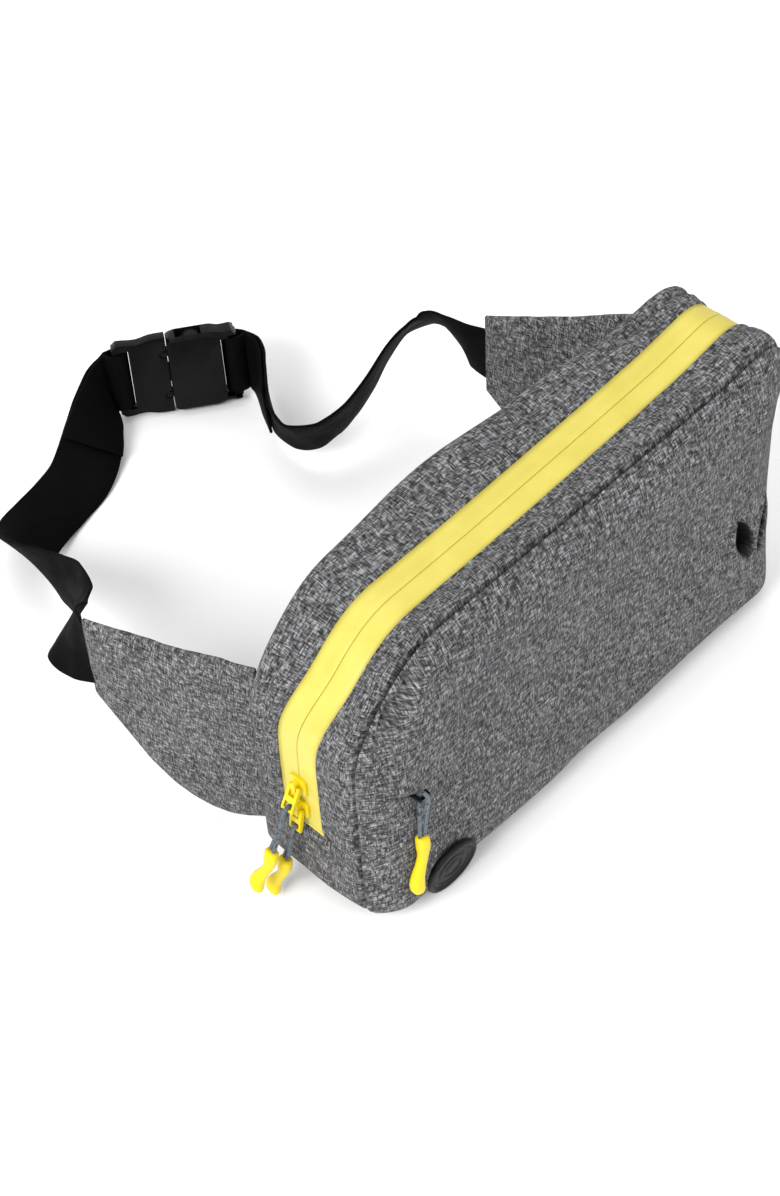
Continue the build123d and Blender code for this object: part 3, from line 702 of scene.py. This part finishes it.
sweep_strip("rear_gusset_cloth", (0, UPPER), rear_profile, HEATHER, ["rear_gusset"])
sweep_strip("front_gusset_cloth", (0, UPPER), front_profile, HEATHER, ["front_gusset"])
sweep_strip(
    "base_gusset_cloth",
    (UPPER, TOTAL),
    base_profile,
    HEATHER_LOW,
    ["base_gusset"],
    drift=False,
)
TAPE = ("tape", tape_profile, "zip_tape_coated", TAPE_YELLOW, TAPE_THICK)
COIL = ("coil", coil_profile, "zip_coil", SLIDER_YELLOW, COIL_THICK)
for side, sign, (kind, profile, slot, mat, thick) in (
    ("rear", 1, TAPE), ("rear", 1, COIL), ("front", -1, COIL), ("front", -1, TAPE),
):
    node = f"{side}_zip_{kind}"
    sweep_strip(f"{side}_{kind}", (0, UPPER), profile(sign), mat, [node], thick=thick, seam_dip=0)


END_ROWS, END_COLS = 7, 21


def zip_ends():
    """The tapes' folded ends, sewn down over both ends of the zip."""
    verts, uv, faces = [], [], []
    for start, end in ((-3.2, 1.2), (UPPER - 1.2, UPPER + 3.2)):
        base = len(verts)
        for s in np.linspace(start, end, END_ROWS):
            x, z, nx, nz = outline_at(s)
            edge = min(s - start, end - s)
            lift = 0.15 + 0.35 * float(smoothstep(0, 0.8, edge))
            outer = [(y, lift + puff(s, y) * 0.2) for y in np.linspace(-13.3, 13.3, END_COLS)]
            for y, out in outer + [(y, out - TAPE_THICK) for y, out in outer[::-1]]:
                px, pz = x + nx * out, z + nz * out
                dx, dz = stuffing(px, pz)
                verts.append((px + float(dx), y + float(zip_drift(s)), pz + float(dz)))
                uv.append((s, y))
        faces += tube_faces(END_ROWS, 2 * END_COLS, base=base)
    obj = to_object("zip_end_folds", verts, faces, uv)
    recalc(obj)
    dress(obj, "bag", TAPE_YELLOW)
    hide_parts("zip_end_tabs")


zip_ends()


# ---------------------------------------------------------------- front and back panels
def rounded_distance(x, z, centre, size, radius):
    """Distance inwards from a rounded rectangle."""
    qx = np.abs(x - centre[0]) - (size[0] / 2 - radius)
    qz = np.abs(z - centre[1]) - (size[1] / 2 - radius)
    return radius - np.hypot(np.maximum(qx, 0), np.maximum(qz, 0)) - np.minimum(np.maximum(qx, qz), 0)


def edge_distance(x, z):
    """Distance inwards from the bag's outline."""
    radius = np.where(z > HEIGHT / 2, np.where(x < 0, TOP_LEFT_R, TOP_RIGHT_R), LOW_R)
    return rounded_distance(x, z, (MIDDLE_X, HEIGHT / 2), (2 * HALF, HEIGHT), radius)


def panel_grid(edge_rows, insets, samples):
    """Rings of points: the turned-in edge given by (out, y), then rings set in up to a middle line."""
    loop_points = [outline_at(s) for s in np.linspace(0, TOTAL, samples, endpoint=False)]
    rows = [[(x + nx * out, y, z + nz * out) for x, z, nx, nz in loop_points] for out, y in edge_rows]
    base = np.array(rows[-1])
    middle = np.column_stack([np.clip(base[:, 0] * 0.62, -96, 96), base[:, 1], np.full(len(base), 84.0)])
    reach = np.hypot(middle[:, 0] - base[:, 0], middle[:, 2] - base[:, 2])[:, None]
    for inset in insets:
        share = np.clip(inset / reach, 0, 1) if inset < 1e3 else np.ones_like(reach)
        blend = inset / insets[-1]
        rows.append(base + (middle - base) * (share * (1 - blend ** 2) + blend ** 3))
    return np.array([np.array(row, float) for row in rows])


TUCK_X, TUCK_Z = -139.0, 150.0
LEFT_SLIT = ((-124.5, 85.7), (-148.0, 102.6))
# centre, half width, half length and lean in degrees of the two gaps of the open mouth
WIDE_GAP = ((119.0, 68.0), 6.2, 16.5, -15)
SLIM_GAP = ((136.3, 66.0), 3.4, 16.5, 27)


def along_across(x, z, ends):
    """Position along a slit from 0 to 1, and the distance across it, positive upwards."""
    (ax, az), (bx, bz) = ends
    length = hypot(bx - ax, bz - az)
    dx, dz = (bx - ax) / length, (bz - az) / length
    px, pz = (dz, -dx) if dx < 0 else (-dz, dx)
    return ((x - ax) * dx + (z - az) * dz) / length, (x - ax) * px + (z - az) * pz


def lens(x, z, centre, half_width, half_length, lean):
    """Distance across a leaning, pointed gap, 1 at its rim, and whether a point is within its length."""
    c, s = cos(radians(lean)), sin(radians(lean))
    u = (x - centre[0]) * c - (z - centre[1]) * s
    v = (x - centre[0]) * s + (z - centre[1]) * c
    return np.abs(u) / (half_width * np.clip(1 - (v / half_length) ** 2, 0.001, 1)), np.abs(v) < half_length


def front_height(x, z):
    """How far the front panel stands out from its seam."""
    full = 10.4 + 4.8 * (1 - smoothstep(35, 95, z))
    length = 18 + 11 * smoothstep(8, 60, z)
    t = np.clip(edge_distance(x, z) / length, 0, 1)
    return full * (1 - (1 - t) ** 2)


def front_surface():
    edge = ((-6.0, -32.7), (-4.8, -33.2), (-3.4, -34.1), (-2.2, -34.9), (-1.2, -35.2), (-0.5, -35.1))
    insets = list(np.linspace(0.6, 30, 42)) + list(np.linspace(30.9, 88, 64))
    grid = panel_grid(edge, insets, 760)
    rows, cols, _ = grid.shape
    points = grid.reshape(-1, 3)
    x, y, z = points[:, 0], points[:, 1], points[:, 2]
    row = np.repeat(np.arange(rows), cols)
    face = smoothstep(len(edge) - 1, len(edge) + 8, row)
    inner = (row >= len(edge)).astype(float)
    depth = edge_distance(x, z)
    y = y - inner * front_height(x, z)
    smooth_y = y.copy()
    # slow hollows and swells of slack cloth
    y = y - face * 1.3 * field(points, 44.0, 3.1)
    y = y - face * 0.40 * field(points, 15.0, 8.7)
    # gathers that fan out from the tucks at the upper corners
    for cx, cz, count, size in ((-130.0, 158.0, 5.0, 0.5), (134.0, 163.0, 7.0, 0.6)):
        fan = np.arctan2(z - cz, x - cx)
        reach = np.hypot(x - cx, z - cz)
        y = y - face * size * np.sin(fan * count + 0.8) * bump(reach, 22, 22) * smoothstep(0, 10, reach)
    # the deep tuck where the front strip folds over the panel's upper left corner
    tuck = np.hypot(x - TUCK_X, (z - TUCK_Z) * 0.8)
    y = y + face * 5.5 * bump(tuck, 0, 7.0)
    fold = (x - TUCK_X) * 0.74 + (z - TUCK_Z) * 0.67
    beside = (x - TUCK_X) * 0.67 - (z - TUCK_Z) * 0.74
    reach = smoothstep(-14, 2, fold) * (1 - smoothstep(24, 52, fold))
    y = y + face * 3.4 * reach * bump(beside, 1.0, 2.2) - face * 2.2 * reach * bump(beside, 7.5, 5.0)
    # a crease that runs down beside the left seam
    crease = bump(x + 0.10 * (z - 90), -141, 5) * smoothstep(104, 122, z) * (1 - smoothstep(136, 150, z))
    y = y + face * 2.2 * crease
    # the hidden zipped slit: its upper lip hangs over a narrow groove, and a line of painted shadow darkens
    # the groove
    along, across = along_across(x, z, LEFT_SLIT)
    inside = smoothstep(-0.08, 0.03, along) * (1 - smoothstep(0.55, 0.9, along))
    y = y - face * 2.4 * bump(np.hypot(x + 142.0, z - 100.0), 0, 9.0)
    y = y - face * inside * 1.7 * bump(across, 3.4, 3.0)
    y = y + face * inside * 2.6 * bump(across, -0.9, 1.1)
    y = y + face * inside * 0.8 * bump(across, -6.0, 3.5)
    # painted shadow: a dark line painted into the cloth's colour along the groove under the lip
    line = smoothstep(-0.08, 0.03, along) * (1 - smoothstep(0.9, 1.25, along))
    shadow = line * bump(across, -0.9, 0.8) * 0.65
    # the open mouth at the right: a welt between two gaps over the black lining
    wide, in_wide = lens(x, z, *WIDE_GAP)
    slim, in_slim = lens(x, z, *SLIM_GAP)
    gape = np.maximum(smoothstep(1.05, 0.75, wide) * in_wide, smoothstep(1.05, 0.75, slim) * in_slim)
    rim = np.maximum(bump(wide, 1.45, 0.45) * in_wide, bump(slim, 1.9, 0.8) * in_slim)
    y = y - face * 1.5 * rim
    y = y + gape * 8.5
    # painted shade: inside both gaps the cloth is painted near black, darker than the lining; it stands for
    # the black lining and the shade deep in the gaps
    dark_wide, dark_slim = smoothstep(1.12, 0.98, wide) * in_wide, smoothstep(1.12, 0.98, slim) * in_slim
    gap_and_painted_shade = np.maximum(np.maximum(dark_wide, dark_slim), shadow)
    dx, dz = stuffing(x, z)
    x, z = x + dx, z + dz
    z = np.maximum(z, PANEL_FLOOR)
    points = np.column_stack([x, y, z])
    uv = np.column_stack([x, z + np.where(depth < 30, (smooth_y + 45.0) * np.where(z < 60, 0.5, -0.3), 0)])
    faces = grid_faces(rows, cols, wrap=True, flip=True)
    obj = to_object("front_panel_cloth", points, faces, uv)
    # the painted shadow line and the dark of the gaps, kept on the points for the front cloth's colour
    layer = obj.data.attributes.new("gap_and_painted_shade", "FLOAT", "POINT")
    layer.data.foreach_set("value", np.asarray(gap_and_painted_shade, dtype=np.float32))
    weld(obj, 0.05)
    dress(obj, "bag", HEATHER_FRONT)
    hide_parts("front_panel")


front_surface()

PAD_CENTRE, PAD_SIZE, PAD_R = (-3.0, 88.0), (190.0, 154.0), 34.0
PAD_CHANNELS = (52.0, 88.0, 124.0)


def back_surface():
    edge = ((-5.0, 33.0), (-3.2, 33.8), (-2.0, 34.4), (-2.4, 35.0), (-4.0, 35.3), (-7.0, 35.5), (-11.0, 35.6))
    grid = panel_grid(edge, list(np.linspace(0.9, 80, 90)), 640)
    rows, cols, _ = grid.shape
    points = grid.reshape(-1, 3)
    x, y, z = points[:, 0], points[:, 1], points[:, 2]
    row = np.repeat(np.arange(rows), cols)
    face = smoothstep(1, len(edge) + 2, row)
    y = y + back_swell(x, z) * (1 - smoothstep(4, 34, edge_distance(x, z)))
    inward = rounded_distance(x, z, PAD_CENTRE, PAD_SIZE, PAD_R)
    y = y + face * 8.4 * smoothstep(0.5, 13, inward)
    y = y - face * 1.1 * bump(inward, 0.2, 1.0)
    for level_z in PAD_CHANNELS:
        y = y - face * 2.8 * bump(z, level_z, 1.9) * smoothstep(6, 14, inward)
    y = y + face * 0.5 * field(points, 30.0, 5.0)
    dx, dz = stuffing(x, z)
    x, z = x + dx, z + dz
    z = np.maximum(z, PANEL_FLOOR)
    points = np.column_stack([x, y, z])
    faces = grid_faces(rows, cols, wrap=True)
    obj = to_object("back_panel_cloth", points, faces, np.column_stack([x, z]))
    weld(obj, 0.05)
    dress(obj, "bag", HEATHER)
    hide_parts("back_panel", "back_pad_cover")


back_surface()


def back_padding():
    """The foam inside the padded panel, a little thinner than its pocket of cloth."""
    rows = ((8.0, 36.2), (8.4, 37.8), (11.0, 39.2), (16.0, 39.8), (30.0, 40.0))
    ring = 96
    verts = []
    for inset, y in rows:
        radius = max(30.0 - inset, 4.0)
        half_x, half_z = PAD_SIZE[0] / 2 - inset - radius, PAD_SIZE[1] / 2 - inset - radius
        for k in range(ring):
            angle = 2 * pi * (k + 0.5) / ring
            cx = half_x if cos(angle) > 0 else -half_x
            cz = half_z if sin(angle) > 0 else -half_z
            x, z = cx + radius * cos(angle), cz + radius * sin(angle)
            verts.append((PAD_CENTRE[0] + x, y, PAD_CENTRE[1] + z))
    obj = to_object("back_padding", verts, tube_faces(len(rows), ring))
    recalc(obj)
    dress(obj, "bag", FOAM)
    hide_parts("back_pad_foam")


back_padding()


def lining_sheet():
    """The black cloth between the compartments, seen through the open mouth."""
    nx, nz = 60, 40
    verts, uv = [], []
    for i in range(nz):
        for j in range(nx):
            a, b = -1 + 2 * j / (nx - 1), -1 + 2 * i / (nz - 1)
            x = 147 * a
            z = 86 + 79 * b
            low = 9 * max(0.0, (22 - z) / 16) ** 2
            left_limit = 147 - low - (42 * max(0.0, (z - 112) / 53) ** 2)
            right_limit = 147 - low - (14 * max(0.0, (z - 140) / 25) ** 2)
            x = max(-left_limit, min(right_limit, x))
            y = -33.6 + 1.6 * (1 - a * a) * (1 - b * b) * sin(3.1 * a + 1.7 * b)
            verts.append((x, y, z))
            uv.append((x, z))
    back_rows = [(x, y + 0.8, z) for x, y, z in verts]
    obj = to_object("pocket_lining_cloth", verts + back_rows, slab_faces(nz, nx), uv + uv)
    recalc(obj)
    dress(obj, "bag", LINING_BLACK)
    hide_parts("pocket_lining", "pocket_divider")


lining_sheet()


# ---------------------------------------------------------------- wings
WING_LENGTH = 105.0
LEFT_PIVOT, RIGHT_PIVOT = (-151.0, 39.0), (151.0, 39.0)
LEFT_ANGLE, RIGHT_ANGLE = 100.0, 102.5
BEND_END = 20.0
# the webbing's middle where it leaves a wing
WEB_HEIGHT = 80.0
LOW_EDGE = np.polyfit((-4.5, 18.0, 44.0, 70.0, 105.0), (22.0, 10.0, 5.0, 17.0, 52.0), 4)


def wing_surface(name, pivot, angle, root_high, body, slot, mat, node, margin=0.0):
    """A padded panel with a sewn rim and a sagging lower edge; a margin gives the smaller foam inside it."""
    nu, nv = 100, 96
    direction = np.array([cos(radians(angle)), sin(radians(angle))])
    normal = np.array([direction[1], -direction[0]])
    u = np.linspace(BEND_END + 2.0 if margin else -3.0, WING_LENGTH - margin, nu)
    verts, uv = [], []
    for side in (1, -1):
        for i in range(nv):
            b = i / (nv - 1)
            for j in range(nu):
                a = u[j]
                share = (a + 4.0) / (WING_LENGTH + 4.0)
                low = float(np.polyval(LOW_EDGE, a)) + margin + 1.2 * max(0.0, share - 0.85) / 0.15
                high = root_high + (108.0 - root_high) * share - margin - 2.0 * sin(pi * share)
                z = low + (high - low) * b
                rim = min(b, 1 - b) * (high - low)
                edge = min(rim, WING_LENGTH - margin - a)
                full = 1 - np.exp(-max(edge, 0) / 6.0)
                seam = 1 - 0.34 * float(bump(edge, 4.6, 1.0)) if not margin else 1.0
                root = float(smoothstep(-4, 16, a))
                thick = (0.9 + 3.4 * full * seam) * (0.55 + 0.45 * root) * (0.5 if margin else 1.0)
                slack = 1.7 * noise.noise(Vector((a / 30 + angle, z / 38, 2.0)))
                slack += 0.5 * noise.noise(Vector((a / 11, z / 14 + angle, 5.0)))
                tip = float(smoothstep(WING_LENGTH - 22, WING_LENGTH - 4, a))
                slack *= float(smoothstep(0, 20, a)) * (1 - 0.75 * tip)
                off = side * thick + slack
                p = np.array(pivot) + direction * a + normal * off
                verts.append((p[0], p[1], z))
                uv.append((a, z))
    obj = to_object(name, verts, slab_faces(nv, nu), uv)
    recalc(obj, merge=False)
    if margin:
        dress(obj, body, mat)
    else:
        start, end = np.array(pivot) - direction, np.array(pivot) + direction * BEND_END
        dress_bending(obj, ("bag", body), (*start, WEB_HEIGHT), (*end, WEB_HEIGHT), slot, mat)
    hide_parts(node)
    return obj


for side, body, *form in (
    ("left", "left_arm", LEFT_PIVOT, LEFT_ANGLE, 136.0),
    ("right", "right_wing", RIGHT_PIVOT, RIGHT_ANGLE, 156.0),
):
    cover = wing_surface(f"{side}_wing_cloth", *form, body, "heather_fabric", HEATHER, f"{side}_wing_cover")
    wing_surface(f"{side}_wing_padding", *form, body, "foam", FOAM, f"{side}_wing_foam", margin=7.0)


# ---------------------------------------------------------------- belt webbing
WEB_WIDTH, WEB_THICK = 38.0, 1.8
BUCKLE_CENTRE = Vector((41.5, 310.0, 27.3))
LEAN = radians(10.0)
reach_x, reach_y = BUCKLE_CENTRE[0] - LEFT_PIVOT[0], BUCKLE_CENTRE[1] - LEFT_PIVOT[1]
arm = hypot(reach_x, reach_y)
BUCKLE_X = Vector((reach_y / arm, -reach_x / arm, 0))
BUCKLE_Z = Vector((-reach_x / arm * cos(LEAN), -reach_y / arm * cos(LEAN), sin(LEAN)))
BUCKLE_Y = BUCKLE_Z.cross(BUCKLE_X)
PLUG_END, SOCKET_END = -37.0, 37.0
TAIL_STEP = 2.4

# the webbing's turn round a buckle's bar: along the belt, and through the buckle's thickness
BAR_TURN = (
    (5.0, -1.2), (2.4, -3.2), (-1.0, -4.7), (-4.6, -4.6), (-7.3, -2.4), (-8.5, 0.0),
    (-7.3, 2.4), (-4.6, 4.6), (-1.0, 4.7), (2.4, 3.2), (5.0, 1.2),
)
# x, y, z of the webbing's middle, and its lean in degrees
LEFT_STATIONS = (
    (-168, 157, 77, -20), (-160, 172, 70, -40), (-146, 184, 62, -34), (-133, 197, 54, -12),
    (-126, 213, 45, -4), (-123, 232, 37, 4), (-120, 251, 30, 20), (-114, 269, 23, 42),
    (-101, 283, 15, 62), (-84, 292, 9, 72), (-65, 298, 6.4, 75), (-46, 303, 7.5, 72),
    (-29, 311, 14, 60), (-15, 321, 21, 40), (-3, 330, 26, 20),
)
RIGHT_STATIONS = (
    (127, 155, 80, -10), (130, 168, 79, -24), (133, 180, 78, -38), (130, 190, 76, -44), (120, 196, 72, -36),
    (105, 197, 64, -24), (88, 195, 54, -20), (71, 195, 45, -24), (57, 200, 37, -30), (47, 211, 31, -30),
    (47, 228, 28, -18), (54, 244, 27.3, -4), (64, 258, 27.3, 2), (73, 270, 27.3, 6), (77, 279, 27.3, 8),
)


def buckle_point(x, y, z):
    return BUCKLE_CENTRE + BUCKLE_X * x + BUCKLE_Y * y + BUCKLE_Z * z


def belt_frames(pivot, angle, stations, side, end_x):
    """Centre points and across-vectors along the belt, round the buckle's bar and back along the tail."""
    direction = Vector((cos(radians(angle)), sin(radians(angle)), 0))
    tip = Vector((*pivot, 0)) + direction * (WING_LENGTH - 3.0)
    centres = [Vector((tip.x, tip.y, WEB_HEIGHT))]
    across = [Vector((0, 0, 1))]
    points = [centres[0]] + [Vector(s[:3]) for s in stations]
    away = 1 if end_x > 0 else -1
    last = buckle_point(end_x + away * 5.0, 0, -TAIL_STEP / 2)
    points.append(last)
    for i, station in enumerate(stations):
        along = (points[i + 2] - points[i]).normalized()
        out = Vector((-side * along.y, side * along.x, 0)).normalized()
        rise = along.cross(out) * side
        lean = radians(station[3])
        centres.append(points[i + 1])
        across.append(rise * cos(lean) + out * sin(lean))
    for dx, dz in BAR_TURN:
        centres.append(buckle_point(end_x + away * dx, 0, dz))
        across.append(BUCKLE_Y.copy())
    return centres, across


def ribbon(name, centres, across, width, thick, step=2.0):
    """A rounded flat band through the frames given."""
    pts = [Vector(p) for p in centres]
    total, dense_p, dense_a = 0.0, [], []
    for i in range(len(pts) - 1):
        p0 = pts[i - 1] if i else pts[0] * 2 - pts[1]
        p1, p2 = pts[i], pts[i + 1]
        p3 = pts[i + 2] if i + 2 < len(pts) else pts[-1] * 2 - pts[-2]
        gap = (p2 - p1).length
        count = max(3, int(gap / step))
        for k in range(count):
            f = k / count
            square, cube = 2 * p0 - 5 * p1 + 4 * p2 - p3, 3 * p1 - p0 - 3 * p2 + p3
            dense_p.append(0.5 * (2 * p1 + (p2 - p0) * f + square * f * f + cube * f ** 3))
            g = f * f * (3 - 2 * f) * 0.4 + f * 0.6
            dense_a.append((across[i] * (1 - g) + across[i + 1] * g).normalized())
    dense_p.append(pts[-1])
    dense_a.append(across[-1])
    half, t = width / 2, thick / 2
    ring = [(-half + 0.2, t * 0.55), (-half + 0.9, t), (-half * 0.5, t * 1.02), (0, t * 1.03)]
    ring += [(half * 0.5, t * 1.02), (half - 0.9, t), (half - 0.2, t * 0.55)]
    ring += [(w, -h) for w, h in ring[::-1]]
    verts, uv = [], []
    for i, (p, a) in enumerate(zip(dense_p, dense_a)):
        before, after = dense_p[max(i - 1, 0)], dense_p[min(i + 1, len(dense_p) - 1)]
        along = (after - before).normalized()
        n = along.cross(a).normalized()
        a = n.cross(along).normalized()
        if i:
            total += (p - dense_p[i - 1]).length
        for w, h in ring:
            verts.append(p + a * w + n * h)
            uv.append((total, w + (60 if h < 0 else 0)))
    obj = to_object(name, verts, tube_faces(len(dense_p), len(ring)), uv)
    recalc(obj, merge=False)
    return obj


def tail_frames(centres, across, count, step):
    """The sewn-back end: the last stations before the buckle, moved through the webbing's thickness."""
    out_c, out_a = [], []
    last = len(centres) - len(BAR_TURN)
    stations = list(range(last - count, last))
    for i in stations[::-1]:
        along = (centres[i + 1] - centres[i - 1]).normalized()
        n = along.cross(across[i]).normalized()
        out_c.append(centres[i] + n * step)
        out_a.append(across[i])
    return out_c, out_a


left_c, left_a = belt_frames(LEFT_PIVOT, LEFT_ANGLE, LEFT_STATIONS, 1, PLUG_END)
tail_c, tail_a = tail_frames(left_c, left_a, 3, TAIL_STEP + 0.2)
left_belt = ribbon("left_belt_webbing", left_c + tail_c, left_a + tail_a, WEB_WIDTH, WEB_THICK)
dress(left_belt, "left_arm", WEBBING)
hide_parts("left_webbing", "left_webbing_loop", "left_webbing_tail")

right_c, right_a = belt_frames(RIGHT_PIVOT, RIGHT_ANGLE, RIGHT_STATIONS, -1, SOCKET_END)
tail_c, tail_a = tail_frames(right_c, right_a, 4, -TAIL_STEP - 0.2)
right_belt = ribbon("right_belt_webbing", right_c + tail_c, right_a + tail_a, WEB_WIDTH, WEB_THICK)
BELT_BEND = (128.0, 142.0, WEB_HEIGHT), (128.0, 194.0, WEB_HEIGHT)
dress_bending(right_belt, ("right_wing", "bag"), *BELT_BEND, "webbing", WEBBING)
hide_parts("right_webbing", "right_webbing_loop", "right_webbing_tail")


# ---------------------------------------------------------------- badge
def badge_disc():
    """A moulded rubber roundel with a raised rim and plain concentric ribs, low on the front panel."""
    centre = Vector((-112.5, -50.2, 19.2))
    out = Vector((-0.03, -0.985, -0.14)).normalized()
    across = Vector((1, 0, 0)) - out * out.x
    across.normalize()
    upward = across.cross(out) * -1
    profile = (
        (0, 1.5), (4.5, 1.5), (5.0, 1.0), (6.2, 1.0), (6.7, 1.6), (8.4, 1.6), (8.9, 1.0), (11.6, 1.0),
        (12.1, 1.5), (12.9, 1.5), (13.4, 1.0), (14.2, 1.0), (14.8, 2.1), (15.6, 2.3), (16.4, 2.1),
        (16.8, 1.2), (16.9, 0.0), (16.6, -0.8), (0, -0.8),
    )
    ring = 72
    verts = []
    for radius, height in profile:
        for k in range(ring):
            angle = 2 * pi * k / ring
            verts.append(centre + across * radius * cos(angle) + upward * radius * sin(angle) + out * height)
    obj = to_object("rubber_badge", verts, grid_faces(len(profile), ring, wrap=True))
    recalc(obj)
    dress(obj, "bag", BADGE_BLACK)
    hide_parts("badge")


badge_disc()


# ---------------------------------------------------------------- hard parts: CAD solids with rounded edges
def rounded_copy(node, name, body, mat, width):
    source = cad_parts[node]
    mesh = source.data.copy()
    mesh.name = name
    obj = add_object(name, mesh)
    work = bmesh.new()
    work.from_mesh(mesh)
    bmesh.ops.remove_doubles(work, verts=work.verts, dist=0.00001)
    bmesh.ops.dissolve_limit(work, angle_limit=radians(1.0), verts=work.verts, edges=work.edges)
    work.to_mesh(mesh)
    work.free()
    bevel = obj.modifiers.new("bevel", "BEVEL")
    bevel.width = width * MM
    bevel.segments = 3
    bevel.limit_method = "ANGLE"
    bevel.angle_limit = radians(32)
    bevel.harden_normals = False
    mesh.polygons.foreach_set("use_smooth", [True] * len(mesh.polygons))
    dress(obj, body, mat)
    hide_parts(node)


for node, body, width in (
    ("buckle_socket", "bag", 0.6),
    ("buckle_plug", "left_arm", 0.5),
    ("top_prong", "top_prong", 0.5),
    ("bottom_prong", "bottom_prong", 0.5),
):
    rounded_copy(node, f"{node}_moulding", body, BUCKLE_BLACK, width)
for node in ("upper_slider", "lower_slider", "upper_puller", "lower_puller"):
    rounded_copy(node, f"{node}_lacquered", node, SLIDER_YELLOW, 0.25)
# the pocket slider in near-black plastic, painted shade under the slit's lip
rounded_copy("pocket_slider", "pocket_slider_dark", "pocket_slider", SLIDER_PAINTED_SHADE, 0.2)

for node in ("upper_pocket_tape", "lower_pocket_tape"):
    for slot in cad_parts[node].material_slots:
        slot.material = LINING_BLACK

# ---------------------------------------------------------------- floor, light
FLOOR_HALF = 4000
corners = [(x * FLOOR_HALF, y * FLOOR_HALF, 0) for x, y in ((-1, -1), (1, -1), (1, 1), (-1, 1))]
floor = to_object("floor", corners, [(0, 1, 2, 3)], smooth=False)
FLOOR = material("pale_floor", 0.9, (0.93, 0.93, 0.93), specular=0.1)
floor.data.materials.append(FLOOR)

world = bpy.data.worlds.new("studio")
bpy.context.scene.world = world
world.use_nodes = True
world.node_tree.nodes["Background"].inputs["Color"].default_value = (1, 1, 1, 1)
world.node_tree.nodes["Background"].inputs["Strength"].default_value = 0.78


def area_light(name, place, aim, size, power):
    data = bpy.data.lights.new(name, "AREA")
    data.shape = "DISK"
    data.size = size
    data.energy = power
    obj = add_object(name, data)
    obj.location = place
    obj.rotation_euler = (Vector(aim) - Vector(place)).to_track_quat("-Z", "Y").to_euler()


area_light("key", (-2.1, -0.2, 1.7), (0, 0.05, 0.05), 1.4, 62)
area_light("fill", (0.4, -2.2, 1.2), (0, 0.05, 0.05), 1.6, 21)
area_light("top", (0.3, 0.9, 2.4), (0, 0.1, 0.05), 1.6, 13)
bpy.context.scene.view_settings.view_transform = "Standard"
